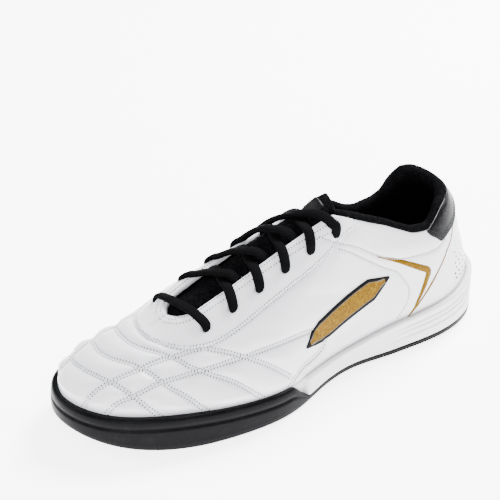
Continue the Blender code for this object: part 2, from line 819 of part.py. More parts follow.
def build_facing(parts, tools, surface):
    """Lace facing: a second layer round the throat, punched with the upper."""
    chosen = [c for c in COLUMNS if c.at >= THROAT_TOP]
    rows = []
    for c in chosen:
        top = q_top(c)
        high = top if top >= 1.0 else q_below(c, top, FACING_EDGE)
        low = q_facing(c)
        rows.append([on_face(c, low + (high - low) * i / 3, SOFT_GAP) for i in range(4)])
    made = finish_mesh("lace_facing", grid_mesh(list(zip(*rows)), False), surface, parts, outward=False)
    thicken(made, FACING, 1.0)
    cut(made, tools.objects["eyelet_punch"])
    return made


def build_cuff(parts, surface):
    """Black padded textile rim that stands on the collar and lines it inside."""
    front = [c for c in COLUMNS if c.side > 0 and c.at < CUFF_END]
    back = [c for c in COLUMNS if c.side < 0 and c.at < CUFF_END]
    chosen = list(reversed(front)) + list(reversed(back))
    sections = []
    inner = UPPER_WALL + CUFF_GAP
    for c in chosen:
        top = q_top(c)
        full = ease((c.at - CUFF_HEEL[0]) / (CUFF_HEEL[1] - CUFF_HEEL[0]))
        rise = CUFF_RISE * (CUFF_HEEL_SHARE + (1 - CUFF_HEEL_SHARE) * full)
        place = profile(c, top)[0]
        near = profile(c, top - 2 * FACE_STEP)[0]
        up = (place - near) / np.linalg.norm(place - near)
        out = np.array((-up[1], up[0]))
        section = []
        for inward, above in ((CUFF_LIP, CUFF_GAP), (0.0, rise * 0.55), (CUFF_ROOF[0], rise),
                              (CUFF_ROOF[1], rise), (CUFF_PAD, rise * 0.2)):
            spot = place - out * inward + up * above
            section.append(lift(c, spot[0], spot[1]))
        for deep, inward in ((0.35, CUFF_PAD), (1.0, inner + CUFF_THIN), (1.0, inner), (0.5, inner)):
            q = q_below(c, top, CUFF_DEPTH * deep)
            section.append(on_face(c, q, -inward))
        section.append(lift(c, *(place - out * inner + up * CUFF_GAP)))
        sections.append(section)
    bm = bmesh.new()
    verts = [[bm.verts.new(world(*point)) for point in section] for section in sections]
    count = len(sections[0])
    for one, two in zip(verts, verts[1:]):
        for j in range(count):
            k = (j + 1) % count
            bm.faces.new((one[j], one[k], two[k], two[j]))
    bm.faces.new(verts[0])
    bm.faces.new(list(reversed(verts[-1])))
    return finish_mesh("collar_cuff", bm, surface, parts)


def build_heel_tab(parts, surface):
    """Black gloss patch over the top of the heel, its side lobes lower than its middle."""
    lateral = [c for c in COLUMNS if c.side > 0 and c.at <= TAB_DROP[-1].at]
    medial = [c for c in COLUMNS if c.side < 0 and c.at <= TAB_DROP[-1].at]
    rows = []
    for c in list(medial) + list(lateral):
        top = q_below(c, q_top(c), GAP)
        low = q_below(c, top, follow(TAB_DROP, c.at, "drop"))
        rows.append([on_face(c, low + (top - low) * i / 2, SOFT_GAP) for i in range(3)])
    made = finish_mesh("heel_tab", grid_mesh(list(zip(*rows)), False), surface, parts, outward=False)
    thicken(made, TAB_THICKNESS, 1.0)
    return made


def build_tongue(parts, surface):
    """Black padded textile tongue under the throat."""
    places = [TONGUE_TOP] + [at for at in STATIONS if THROAT_TOP <= at <= TONGUE_FRONT]
    rows = []
    for at in places:
        droop = TONGUE_DROOP * ease((DROOP_START - at) / (DROOP_START - TONGUE_TOP))
        under = UPPER_WALL + TONGUE_GAP + droop
        half = max(throat_half_width(at), TONGUE_TIP_HALF) + TONGUE_COVER
        row = []
        for share in TONGUE_SHARES:
            c = column(at, 1 if share >= 0 else -1)
            q = q_at_distance(c, abs(share) * half) if share else 1.0
            row.append(on_face(c, q, -under))
        rows.append(row)
    made = finish_mesh("tongue", grid_mesh(rows, False), surface, parts, outward=False)
    thicken(made, TONGUE_PAD, -1.0)
    return made


# Lace


def lace_point(s, across, out):
    """World point and outward direction above the upper's own face."""
    c = column(s / SOLE_LENGTH, 1 if across >= 0 else -1)
    q = q_at_distance(c, abs(across))
    point = world(*on_face(c, q, out))
    outward = (point - world(*on_face(c, q, out - NORMAL_STEP))).normalized()
    return point, outward


def lace_strip(stops):
    """Flat strip through (s, across, out) stops, as a bmesh."""
    bm = bmesh.new()
    frames = [lace_point(*stop) for stop in stops]
    sections = []
    for i, (point, outward) in enumerate(frames):
        ahead = frames[min(i + 1, len(frames) - 1)][0] - frames[max(i - 1, 0)][0]
        across = ahead.cross(outward).normalized()
        outward = across.cross(ahead).normalized()
        half, thin = LACE_WIDTH / 2, LACE_THICKNESS / 2
        section = []
        for side, up in ((-1, 0), (-0.78, 1), (0.78, 1), (1, 0), (0.78, -1), (-0.78, -1)):
            section.append(bm.verts.new(point + across * half * side + outward * thin * up))
        sections.append(section)
    for one, two in zip(sections, sections[1:]):
        for j in range(6):
            k = (j + 1) % 6
            bm.faces.new((one[j], one[k], two[k], two[j]))
    bm.faces.new(sections[0])
    bm.faces.new(list(reversed(sections[-1])))
    bmesh.ops.recalc_face_normals(bm, faces=bm.faces)
    return bm


def lace_stops(pair, side, over):
    """Stops of one strip from a lace hole to the opposite side's next hole or flap edge."""
    at, _ = eyelet_place(pair, side)
    following, _ = eyelet_place(pair + 1, -side)
    c, q, _, _ = eyelet_frame(pair, side)
    start = abs(on_face(c, q)[1] - c.spine[1]) + LACE_PAST_HOLE
    last = pair + 1 == EYELET_PAIRS
    if last:
        c, q, _, _ = eyelet_frame(pair + 1, -side)
        end = abs(on_face(c, q)[1] - c.spine[1]) + LACE_PAST_HOLE
    else:
        end = throat_half_width(following) - LACE_WIDTH * 0.75
    above = SOFT_GAP + FACING + LACE_CLEAR + LACE_THICKNESS / 2
    middle = LACE_LOW + (LACE_THICKNESS - LACE_BITE if over else 0.0)
    stops = []
    for i in range(LACE_STEPS + 1):
        t = i / LACE_STEPS
        across = start + (-end - start) * t
        reach = 1.0 if last else LACE_SHORT
        s = (at + (following - at) * t * reach) * SOLE_LENGTH
        edge = throat_half_width(s / SOLE_LENGTH)
        if across > 0:
            out = middle + (above - middle) * ease(across / (edge + LACE_EASE))
        elif last:
            out = middle + (above - middle) * ease(-across / (edge + LACE_EASE))
        else:
            out = middle + (-LACE_DIVE - middle) * ease(-across / edge)
        stops.append((s, side * across, out))
    return stops


def build_laces(parts, tools, surface):
    """A bar across the lowest holes and four crossings above it."""
    above = SOFT_GAP + FACING + LACE_BAR_CLEAR + LACE_THICKNESS / 2
    ends = []
    for side in (1, -1):
        c, q, _, _ = eyelet_frame(1, side)
        ends.append((c.at * SOLE_LENGTH, on_face(c, q)[1] - c.spine[1] + side * LACE_PAST_HOLE))
    stops = []
    for i in range(LACE_STEPS + 2):
        t = i / (LACE_STEPS + 1)
        s, across = (one + (two - one) * t for one, two in zip(*ends))
        edge = throat_half_width(s / SOLE_LENGTH)
        out = LACE_BAR_LOW + (above - LACE_BAR_LOW) * ease(abs(across) / (edge + LACE_EASE))
        stops.append((s, across, out))
    finish_mesh("lace_bar_1", lace_strip(stops), surface, parts)
    for pair in range(2, EYELET_PAIRS):
        under = finish_mesh(f"lace_cross_{pair}", lace_strip(lace_stops(pair, 1, False)), surface, parts)
        over = cutter(f"lace_over_{pair}", lace_strip(lace_stops(pair, -1, True)), tools)
        union = under.modifiers.new("join", "BOOLEAN")
        union.operation = "UNION"
        union.solver = "EXACT"
        union.object = over


# Side flash


def build_flash(name, side, surface, parts):
    """Raised gold bar with pointed ends on one quarter."""
    front = np.array((FLASH_FRONT[0] * SOLE_LENGTH, FLASH_FRONT[1] * ANKLE_HEIGHT))
    rear = np.array((FLASH_REAR[0] * SOLE_LENGTH, FLASH_REAR[1] * ANKLE_HEIGHT))
    along = rear - front
    across = np.array((-along[1], along[0])) / np.linalg.norm(along)
    rows = []
    for v in (-1, 0, 1):
        row = []
        for i in range(FLASH_STEPS + 1):
            t = i / FLASH_STEPS
            from_end = min(t, 1 - t) + FLASH_BLUNT
            half = FLASH_HALF_WIDTH * min(1.0, from_end / FLASH_TIP)
            s, h = front + along * t + across * half * v
            c = column(s / SOLE_LENGTH, side)
            row.append(on_face(c, q_at_height(c, h), SOFT_GAP))
        rows.append(row)
    made = finish_mesh(name, grid_mesh(rows, False), surface, parts, outward=False)
    if side * (made.data.polygons[0].normal.x) < 0:
        made.data.flip_normals()
    thicken(made, FLASH_THICKNESS, 1.0)
    return made


def main():
    """Clear the scene and build the shoe."""
    for old in list(bpy.data.objects):
        bpy.data.objects.remove(old, do_unlink=True)
    parts = bpy.data.collections.new("indoor_soccer_shoe")
    tools = bpy.data.collections.new("cutters")
    bpy.context.scene.collection.children.link(parts)
    bpy.context.scene.collection.children.link(tools)
    leather = material("white_leather", (0.86, 0.86, 0.87), 0.38)
    foam = material("white_foam", (0.88, 0.84, 0.85), 0.50)
    rubber = material("black_rubber", (0.020, 0.020, 0.022), 0.45)
    textile = material("black_textile", (0.015, 0.015, 0.017), 0.85)
    gloss = material("black_gloss", (0.020, 0.020, 0.022), 0.25)
    gold = material("gold_foil", (0.62, 0.45, 0.20), 0.35, 0.6)
    build_eyelet_punch(tools)
    build_outsole(parts, tools, rubber)
    build_midsole(parts, tools, foam)
    build_insole(parts, textile)
    build_upper(parts, tools, leather)
    build_facing(parts, tools, leather)
    build_cuff(parts, textile)
    build_heel_tab(parts, gloss)
    build_tongue(parts, textile)
    build_laces(parts, tools, textile)
    build_flash("side_flash_lateral", 1, gold, parts)
    build_flash("side_flash_medial", -1, gold, parts)


main()
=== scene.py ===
"""Looks of a left indoor soccer shoe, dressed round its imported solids.

Shoe coordinates, in metres: s runs forward from the back of the sole, w to the
lateral side, h up from the floor. The shape functions repeat those of the solids.
"""

from __future__ import annotations

import logging
import math
from dataclasses import dataclass
from enum import Enum
from typing import NamedTuple, Sequence

import bpy
import numpy as np
from mathutils import Matrix, Vector, noise
from mathutils.bvhtree import BVHTree
from mathutils.kdtree import KDTree


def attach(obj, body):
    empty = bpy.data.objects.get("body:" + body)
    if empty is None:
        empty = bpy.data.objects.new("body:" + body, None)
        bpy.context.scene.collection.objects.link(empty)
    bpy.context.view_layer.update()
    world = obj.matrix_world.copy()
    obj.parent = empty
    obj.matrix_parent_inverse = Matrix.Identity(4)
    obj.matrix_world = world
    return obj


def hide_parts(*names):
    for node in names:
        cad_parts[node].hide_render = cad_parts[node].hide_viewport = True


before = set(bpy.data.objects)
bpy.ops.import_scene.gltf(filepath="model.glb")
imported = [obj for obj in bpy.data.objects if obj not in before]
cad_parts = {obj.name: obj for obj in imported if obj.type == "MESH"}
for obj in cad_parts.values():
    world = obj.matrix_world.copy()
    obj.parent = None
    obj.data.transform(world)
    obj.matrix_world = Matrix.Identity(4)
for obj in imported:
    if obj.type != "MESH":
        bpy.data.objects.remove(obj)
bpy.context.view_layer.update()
LOG = logging.getLogger("shoe")
MM = 0.001

# Driving sizes, the same as in the solids
LENGTH = 0.288
HEEL_WIDTH = 0.072
WAIST_WIDTH = 0.067
BALL_WIDTH = 0.1015
INSTEP_HEIGHT = 0.107
TOE_HEIGHT = 0.0525
ANKLE_HEIGHT = 0.090


class Outline(NamedTuple):
    """Half widths of the tread edge, as shares of a named width."""

    at: float
    width: float
    lateral: float
    medial: float


OUTLINE = [
    Outline(0.02, HEEL_WIDTH, 0.250, 0.250),
    Outline(0.07, HEEL_WIDTH, 0.415, 0.410),
    Outline(0.15, HEEL_WIDTH, 0.508, 0.486),
    Outline(0.27, HEEL_WIDTH, 0.512, 0.445),
    Outline(0.38, WAIST_WIDTH, 0.560, 0.440),
    Outline(0.48, WAIST_WIDTH, 0.645, 0.485),
    Outline(0.58, BALL_WIDTH, 0.510, 0.400),
    Outline(0.68, BALL_WIDTH, 0.518, 0.482),
    Outline(0.78, BALL_WIDTH, 0.475, 0.478),
    Outline(0.87, BALL_WIDTH, 0.398, 0.418),
    Outline(0.94, BALL_WIDTH, 0.282, 0.345),
    Outline(0.985, BALL_WIDTH, 0.115, 0.220),
]


class Form(NamedTuple):
    """One section of the upper: ridge height and the shape of each side's wall."""

    at: float
    size: float
    ridge: float
    lat_bulge: float
    lat_upright: float
    lat_level: float
    med_bulge: float
    med_upright: float
    med_level: float


FORM = [
    Form(0.000, INSTEP_HEIGHT, 1.196, 0.000, 0.45, 0.30, 0.000, 0.45, 0.30),
    Form(0.125, INSTEP_HEIGHT, 1.196, 0.000, 0.45, 0.30, 0.000, 0.45, 0.30),
    Form(0.260, INSTEP_HEIGHT, 1.178, 0.000, 0.42, 0.32, 0.000, 0.42, 0.32),
    Form(0.340, INSTEP_HEIGHT, 1.121, 0.000, 0.46, 0.45, 0.000, 0.46, 0.45),
    Form(0.420, INSTEP_HEIGHT, 1.000, 0.000, 0.50, 0.60, 0.010, 0.50, 0.55),
    Form(0.520, INSTEP_HEIGHT, 0.850, 0.000, 0.46, 0.60, 0.010, 0.52, 0.55),
    Form(0.620, INSTEP_HEIGHT, 0.710, 0.000, 0.44, 0.60, 0.010, 0.54, 0.55),
    Form(0.720, TOE_HEIGHT, 1.210, 0.005, 0.44, 0.60, 0.010, 0.55, 0.55),
    Form(0.800, TOE_HEIGHT, 1.000, 0.005, 0.48, 0.60, 0.008, 0.56, 0.58),
    Form(1.000, TOE_HEIGHT, 1.000, 0.005, 0.58, 0.62, 0.005, 0.62, 0.62),
]


class Collar(NamedTuple):
    """Top edge of the upper, as shares of the ankle height."""

    at: float
    lateral: float
    medial: float


COLLAR = [
    Collar(0.000, 1.000, 1.000),
    Collar(0.045, 0.983, 1.044),
    Collar(0.075, 0.961, 1.067),
    Collar(0.100, 0.939, 1.061),
    Collar(0.125, 0.894, 1.000),
    Collar(0.155, 0.839, 0.856),
    Collar(0.190, 0.850, 0.817),
    Collar(0.230, 0.900, 0.817),
    Collar(0.270, 0.956, 0.850),
    Collar(0.310, 1.006, 0.922),
    Collar(0.345, 1.056, 0.994),
    Collar(0.372, 1.094, 1.056),
    Collar(0.400, 1.128, 1.122),
    Collar(0.440, 1.244, 1.244),
]


class Row(NamedTuple):
    """A share or size at a share of the length."""

    at: float
    value: float


SPINE = [Row(0.125, 0.0), Row(0.30, -0.005), Row(0.45, -0.015), Row(0.70, -0.015), Row(0.80, -0.030)]
FLOOR = [
    Row(0.00, 1.000), Row(0.10, 0.977), Row(0.25, 0.909), Row(0.45, 0.636),
    Row(0.60, 0.455), Row(0.75, 0.477), Row(0.88, 0.636), Row(1.00, 0.818),
]
MIDSOLE_TOP = [
    Row(0.00, 1.000), Row(0.12, 0.823), Row(0.25, 0.742), Row(0.40, 0.597),
    Row(0.50, 0.565), Row(0.56, 0.565), Row(0.60, 0.480), Row(1.00, 0.480),
]
BAND_TOP = [Row(0.50, 0.620), Row(0.58, 0.670), Row(0.70, 0.759), Row(0.88, 0.926), Row(1.00, 1.000)]
TAB_DROP = [
    Row(0.000, 0.0105), Row(0.050, 0.0130), Row(0.090, 0.0165), Row(0.125, 0.0150), Row(0.140, 0.0085),
    Row(0.157, 0.0020),
]


def follow(table: Sequence[tuple], at: float, column: str = "value", scale: str = "") -> float:
    """Read a table's column at a share of the length, by a monotone cubic.

    Args:
        table: Rows with an at field.
        at: Share of the length.
        column: Field to read.
        scale: Field that the column is a share of, if any.

    Returns:
        The value there.
    """
    xs = [row.at for row in table]
    ys = [getattr(row, column) * (getattr(row, scale) if scale else 1.0) for row in table]
    at = min(max(at, xs[0]), xs[-1])
    steps = [b - a for a, b in zip(xs, xs[1:])]
    slopes = [(b - a) / step for a, b, step in zip(ys, ys[1:], steps)]
    tangents = [slopes[0]]
    for i in range(1, len(slopes)):
        before, after = slopes[i - 1], slopes[i]
        if before * after <= 0.0:
            tangents.append(0.0)
        else:
            one, two = 2 * steps[i] + steps[i - 1], steps[i] + 2 * steps[i - 1]
            tangents.append((one + two) / (one / before + two / after))
    tangents.append(slopes[-1])
    i = max(k for k in range(len(steps)) if xs[k] <= at)
    t = (at - xs[i]) / steps[i]
    start = (1 + 2 * t) * (1 - t) ** 2 * ys[i] + t * (1 - t) ** 2 * steps[i] * tangents[i]
    end = t * t * (3 - 2 * t) * ys[i + 1] + t * t * (t - 1) * steps[i] * tangents[i + 1]
    return start + end


def ease(value: float | np.ndarray) -> float | np.ndarray:
    """Smooth step from 0 to 1."""
    value = np.clip(value, 0.0, 1.0)
    return value * value * (3 - 2 * value)


def closed_spline(points: np.ndarray, samples: int = 24) -> np.ndarray:
    """Periodic cubic spline through plan points.

    Args:
        points: Plan points in order round the outline.
        samples: Points on each stretch.

    Returns:
        Dense plan points.
    """
    count = len(points)
    span = np.linalg.norm(np.roll(points, -1, 0) - points, axis=1) ** 0.75
    matrix = np.zeros((count, count))
    rhs = np.zeros((count, 2))
    for i in range(count):
        after = (i + 1) % count
        matrix[i, i - 1] += span[i - 1]
        matrix[i, i] += 2 * (span[i - 1] + span[i])
        matrix[i, after] += span[i]
        rhs[i] = 6 * ((points[after] - points[i]) / span[i] - (points[i] - points[i - 1]) / span[i - 1])
    bend = np.linalg.solve(matrix, rhs)
    pieces = []
    for i in range(count):
        after = (i + 1) % count
        t = np.linspace(0, span[i], samples, endpoint=False)[:, None]
        cubic = (bend[after] - bend[i]) / (6 * span[i])
        linear = (points[after] - points[i]) / span[i] - span[i] * (2 * bend[i] + bend[after]) / 6
        pieces.append(points[i] + linear * t + bend[i] / 2 * t ** 2 + cubic * t ** 3)
    return np.concatenate(pieces)


def smooth_path(points: Sequence[Sequence[float]], step: float) -> np.ndarray:
    """Even samples of a smooth curve through points.

    Args:
        points: Points to pass through.
        step: Distance between samples.

    Returns:
        Samples along the curve.
    """
    p = np.asarray(points, float)
    ends = np.vstack((2 * p[0] - p[1], p, 2 * p[-1] - p[-2]))
    dense = []
    t = np.linspace(0, 1, 24, endpoint=False)[:, None]
    for a, b, c, d in zip(ends, ends[1:], ends[2:], ends[3:]):
        dense.append(0.5 * (2 * b + (c - a) * t + (2 * a - 5 * b + 4 * c - d) * t ** 2
                            + (3 * b - a - 3 * c + d) * t ** 3))
    dense = np.vstack((*dense, p[-1:]))
    return even(dense, step)


def even(path: np.ndarray, step: float) -> np.ndarray:
    """Resample a dense path at even distances.

    Args:
        path: Dense points.
        step: Distance between samples.

    Returns:
        The samples, both ends included.
    """
    far = np.concatenate(((0.0,), np.cumsum(np.linalg.norm(np.diff(path, axis=0), axis=1))))
    count = max(2, int(round(far[-1] / step)) + 1)
    stops = np.linspace(0, far[-1], count)
    return np.stack([np.interp(stops, far, path[:, k]) for k in range(path.shape[1])], axis=1)


class Side(Enum):
    """Outer or inner side of the foot."""

    LATERAL = 1
    MEDIAL = -1


class Column(NamedTuple):
    """One upright section of the shoe."""

    at: float
    side: int
    edge: np.ndarray
    foot: np.ndarray
    spine: np.ndarray
    share: float


@dataclass
class Last:
    """The shoe's form: every surface is worked out from it.

    Attributes:
        inset: Distance from the tread edge to the foot of the upper.
        heel_centre: Share of the length round which the heel columns fan out.
        toe_centre: Share of the length round which the toe columns fan out.
    """

    inset: float = 0.0035
    heel_centre: float = 0.125
    toe_centre: float = 0.80
    heel_lean: float = 0.009
    lean_end: float = 0.34
    toe_fall: float = 0.19
    toe_tip_side: float = -0.062
    toe_spring: float = 0.012
    spring_start: float = 0.74
    arch_rise: float = 0.003
    arch_start: float = 0.27
    arch_end: float = 0.57
    heel_bevel: float = 0.0025
    bevel_end: float = 0.06
    floor_heel: float = 0.022
    throat_end: float = 0.748
    throat_round: float = 0.045
    throat_top: float = 0.40
    throat_low: float = 0.0105
    throat_high: float = 0.0155
    throat_sag: float = 0.0048
    sag_start: float = 0.53
    sag_run: float = 0.11
    face_step: float = 0.002

    def __post_init__(self) -> None:
        """Work out the plan curves and the place of shoe coordinates in the world."""
        lateral = [(0.0, 0.0)] + [(row.at * LENGTH, row.width * row.lateral) for row in OUTLINE]
        medial = [(row.at * LENGTH, -row.width * row.medial) for row in reversed(OUTLINE)]
        tip = [(LENGTH, self.toe_tip_side * BALL_WIDTH)]
        edge = closed_spline(np.array(lateral + tip + medial))
        self.halves = self.inset_halves(edge, 0.0)
        self.upper_halves = self.inset_halves(edge, self.inset)
        rear = max((v.co for v in bpy.data.objects["outsole"].data.vertices), key=lambda co: co.y)
        self.s_middle = rear.y
        self.w_middle = -rear.x
        self.fine = np.linspace(0, 1, 201)

    @staticmethod
    def inset_halves(edge: np.ndarray, inset: float) -> tuple[np.ndarray, np.ndarray]:
        """Lateral and medial halves of the edge moved inwards, both from heel to toe.

        Args:
            edge: Plan points round the tread.
            inset: Distance to move them.

        Returns:
            The two halves.
        """
        along = np.roll(edge, -1, 0) - np.roll(edge, 1, 0)
        along /= np.linalg.norm(along, axis=1)[:, None]
        moved = edge + inset * np.c_[along[:, 1], -along[:, 0]]
        moved = np.roll(moved, -int(np.argmin(moved[:, 0])), 0)
        toe = int(np.argmax(moved[:, 0]))
        return moved[:toe + 1], np.r_[moved[toe:], moved[:1]][::-1]

    def world(self, points: Sequence) -> np.ndarray:
        """World points of shoe points."""
        p = np.asarray(points, float)
        return np.stack((p[..., 1] - self.w_middle, self.s_middle - p[..., 0], p[..., 2]), axis=-1)

    def spine_side(self, at: float) -> float:
        """Sideways place of the spine."""
        return follow(SPINE, at) * BALL_WIDTH

    def mirrored(self, path: np.ndarray) -> np.ndarray:
        """Mirror image of a path of shoe points in the spine."""
        sides = [2 * self.spine_side(s / LENGTH) - w for s, w in path[:, :2]]
        return np.c_[path[:, 0], sides, path[:, 2]]

    def column(self, at: float, side: int) -> Column:
        """The section at a share of the length.

        Args:
            at: Share of the length, or of the turn round heel and toe.
            side: 1 for the lateral side, -1 for the medial.

        Returns:
            The section's column.
        """
        centre = min(max(at, self.heel_centre), self.toe_centre)
        spine = np.array((centre * LENGTH, self.spine_side(centre)))
        feet = []
        for halves in (self.halves, self.upper_halves):
            half = halves[0] if side > 0 else halves[1]
            if self.heel_centre <= at <= self.toe_centre:
                feet.append(np.array((at * LENGTH, np.interp(at * LENGTH, half[:, 0], half[:, 1]))))
                continue
            forward = -1 if at < self.heel_centre else 1
            turn = at / self.heel_centre if at < self.heel_centre else (1 - at) / (1 - self.toe_centre)
            away = np.vstack(halves) - spine
            angles = np.arctan2(side * away[:, 1], forward * away[:, 0])
            order = np.argsort(angles)
            radius = np.interp(turn * math.pi / 2, angles[order], np.hypot(away[:, 0], away[:, 1])[order])
            direction = (forward * math.cos(turn * math.pi / 2), side * math.sin(turn * math.pi / 2))
            feet.append(spine + radius * np.array(direction))
        return Column(at, side, feet[0], feet[1], spine, feet[0][0] / LENGTH)

    def ring(self, heel: int, middle: int, toe: int) -> list[Column]:
        """Columns all round the shoe, with their number in each quarter.

        Args:
            heel: Columns on each side of the heel's turn.
            middle: Columns along each side.
            toe: Columns on each side of the toe's turn.

        Returns:
            The columns, up the lateral side and back.
        """
        places = np.r_[
            np.linspace(0, self.heel_centre, heel, endpoint=False),
            np.linspace(self.heel_centre, self.toe_centre, middle, endpoint=False),
            np.linspace(self.toe_centre, 1.0, toe + 1),
        ]
        return [self.column(at, 1) for at in places] + [self.column(at, -1) for at in places[-2:0:-1]]

    def tread(self, s: float) -> float:
        """Height of the tread: heel bevel, arch and toe spring.

        Args:
            s: Distance forward.

        Returns:
            The height there.
        """
        at = s / LENGTH
        height = self.heel_bevel * max(0.0, (self.bevel_end - at) / self.bevel_end) ** 2
        if self.arch_start < at < self.arch_end:
            turn = math.pi * (at - self.arch_start) / (self.arch_end - self.arch_start)
            height += self.arch_rise * math.sin(turn) ** 2
        return height + self.toe_spring * max(0.0, (at - self.spring_start) / (1 - self.spring_start)) ** 2

    def floor_height(self, at: float) -> float:
        """Height at which the upper stands in the midsole."""
        return follow(FLOOR, at) * self.floor_heel

    def lift(self, c: Column, inward: np.ndarray, h: np.ndarray) -> np.ndarray:
        """Shoe points of places in a column's own plane.

        Args:
            c: The column.
            inward: Distances from its foot.
            h: Heights.

        Returns:
            The shoe points.
        """
        along = c.spine - c.foot
        along = along / np.linalg.norm(along)
        inward, h = np.atleast_1d(inward), np.atleast_1d(h)
        base = self.floor_height(c.at)
        fade = 1 - ease((c.at - self.heel_centre) / (self.lean_end - self.heel_centre))
        lean = self.heel_lean * fade * (h - base) / (ANKLE_HEIGHT - base)
        return np.stack((c.foot[0] + along[0] * inward + lean, c.foot[1] + along[1] * inward, h), axis=1)

    def profile(self, c: Column, q: np.ndarray) -> np.ndarray:
        """Places on the upper's outer face in the column's plane, q from 0 (sole) to 1 (spine).

        Args:
            c: The column.
            q: Places on the face.

        Returns:
            Inward distance and height of each.
        """
        side = "lat" if c.side > 0 else "med"
        ridge = follow(FORM, c.at, "ridge", "size")
        bulge = follow(FORM, c.at, side + "_bulge") * BALL_WIDTH
        upright = follow(FORM, c.at, side + "_upright")
        level = follow(FORM, c.at, side + "_level")
        run = c.spine - c.foot
        reach = float(np.linalg.norm(run))
        base = self.floor_height(c.at)
        fall = self.toe_fall * max(0.0, -run[0] / reach) if c.at > self.toe_centre else 0.0
        corners = np.array((
            (0.0, base),
            (-bulge, base + upright * (ridge - base)),
            (reach * (1 - level), ridge - fall * level * reach),
            (reach, ridge),
        ))
        q = np.atleast_1d(np.asarray(q, float))[:, None]
        weights = np.hstack(((1 - q) ** 3, 3 * q * (1 - q) ** 2, 3 * q * q * (1 - q), q ** 3))
        return weights @ corners

    def lengths(self, c: Column) -> np.ndarray:
        """Distance along the face from the sole, at the fine places."""
        face = self.profile(c, self.fine)
        steps = np.linalg.norm(np.diff(face, axis=0), axis=1)
        return np.concatenate(((0.0,), np.cumsum(steps)))

    def throat_side(self, at: float) -> float:
        """Half width between the throat's sides, without its round end."""
        share = (self.throat_end - at) / (self.throat_end - self.throat_top)
        return self.throat_low + (self.throat_high - self.throat_low) * share

    def throat_half_width(self, at: float) -> float:
        """Half width of the throat, 0 in front of its round end.

        Args:
            at: Share of the length.

        Returns:
            The half width there.
        """
        if at >= self.throat_end:
            return 0.0
        half = self.throat_side(at)
        start = self.throat_end - self.throat_round
        if at > start:
            half *= math.sqrt(1 - ((at - start) / self.throat_round) ** 2)
        return half

    def q_at_distance(self, c: Column, distance: float) -> float:
        """q where the outer face lies this far from the spine in plan."""
        face = self.profile(c, self.fine)
        inward = np.maximum.accumulate(face[:, 0])
        return float(np.interp(np.linalg.norm(c.spine - c.foot) - distance, inward, self.fine))

    def q_at_height(self, c: Column, h: float) -> float:
        """q where the outer face has this height."""
        face = self.profile(c, self.fine)
        return float(np.interp(h, face[:, 1], self.fine)) if face[-1, 1] > h else 1.0

    def q_below(self, c: Column, q: float, distance: float) -> float:
        """q that lies a distance below another along the face."""
        length = self.lengths(c)
        return float(np.interp(np.interp(q, self.fine, length) - distance, length, self.fine))

    def q_top(self, c: Column) -> float:
        """q of the upper's top edge: the collar, the throat or the spine.

        Args:
            c: The column.

        Returns:
            The q.
        """
        top = 1.0
        if c.at <= COLLAR[-1].at:
            top = self.q_at_height(c, follow(COLLAR, c.at, "lateral" if c.side > 0 else "medial") * ANKLE_HEIGHT)
        if COLLAR[-4].at <= c.at and self.throat_half_width(c.at) > 0:
            top = min(top, self.q_at_distance(c, self.throat_half_width(c.at)))
        return top

    def on_face(self, c: Column, q: float, out: float = 0.0) -> np.ndarray:
        """Shoe point on the upper's outer face, moved out along its normal.

        Args:
            c: The column.
            q: Place on the face.
            out: Distance to move it.

        Returns:
            The point.
        """
        place = self.profile(c, q)[0]
        if q >= 1.0:
            return self.lift(c, place[0], place[1] + out)[0]
        away = self.face_out(c, q)
        return self.lift(c, place[0] + away[0] * out, place[1] + away[1] * out)[0]

    def face_out(self, c: Column, q: float) -> np.ndarray:
        """Outward direction of the face in the column's plane.

        Args:
            c: The column.
            q: Place on the face.

        Returns:
            Unit direction, as inward distance and height.
        """
        near = self.profile(c, (max(0.0, q - self.face_step), min(1.0, q + self.face_step)))
        up = (near[1] - near[0]) / np.linalg.norm(near[1] - near[0])
        return np.array((-up[1], up[0]))

    def from_above(self, s: float, w: float) -> np.ndarray:
        """Shoe point on the upper's face over a plan point.

        Args:
            s: Distance forward.
            w: Distance to the lateral side.

        Returns:
            The point.
        """
        if s <= self.toe_centre * LENGTH:
            spine = self.spine_side(s / LENGTH)
            c = self.column(s / LENGTH, 1 if w >= spine else -1)
            return self.on_face(c, self.q_at_distance(c, abs(w - spine)))
        spine = self.spine_side(self.toe_centre)
        ahead, beside = s - self.toe_centre * LENGTH, w - spine
        side = 1 if beside >= 0 else -1
        turn = math.atan2(abs(beside), ahead) / (math.pi / 2)
        c = self.column(1 - turn * (1 - self.toe_centre), side)
        return self.on_face(c, self.q_at_distance(c, math.hypot(ahead, beside)))

    def sag(self, at: float, across: float) -> float:
        """How far tongue and lace lie below the form between the throat's sides."""
        deep = self.throat_sag * float(ease((self.sag_start - at) / self.sag_run))
        return deep * max(0.0, 1 - (across / self.throat_side(at)) ** 2)

    def above_throat(self, s: float, across: float, out: float) -> np.ndarray:
        """Shoe point above the upper's own face beside the spine, the throat bridged over."""
        c = self.column(s / LENGTH, 1 if across >= 0 else -1)
        return self.on_face(c, self.q_at_distance(c, abs(across)), out - self.sag(c.at, across))

    def sole_point(self, c: Column, inset: float, h: float) -> tuple[float, float, float]:
        """Shoe point a distance inside the tread edge."""
        move = (c.foot - c.edge) / self.inset
        s, w = c.edge + move * inset
        return s, w, h

    def beside_upper(self, c: Column, h: float, gap: float) -> np.ndarray:
        """Shoe point just outside the upper's outer face at a height."""
        face = self.profile(c, self.fine)
        inward = float(np.interp(h, face[:, 1], face[:, 0]))
        return self.lift(c, inward - gap, h)[0]


# Meshes


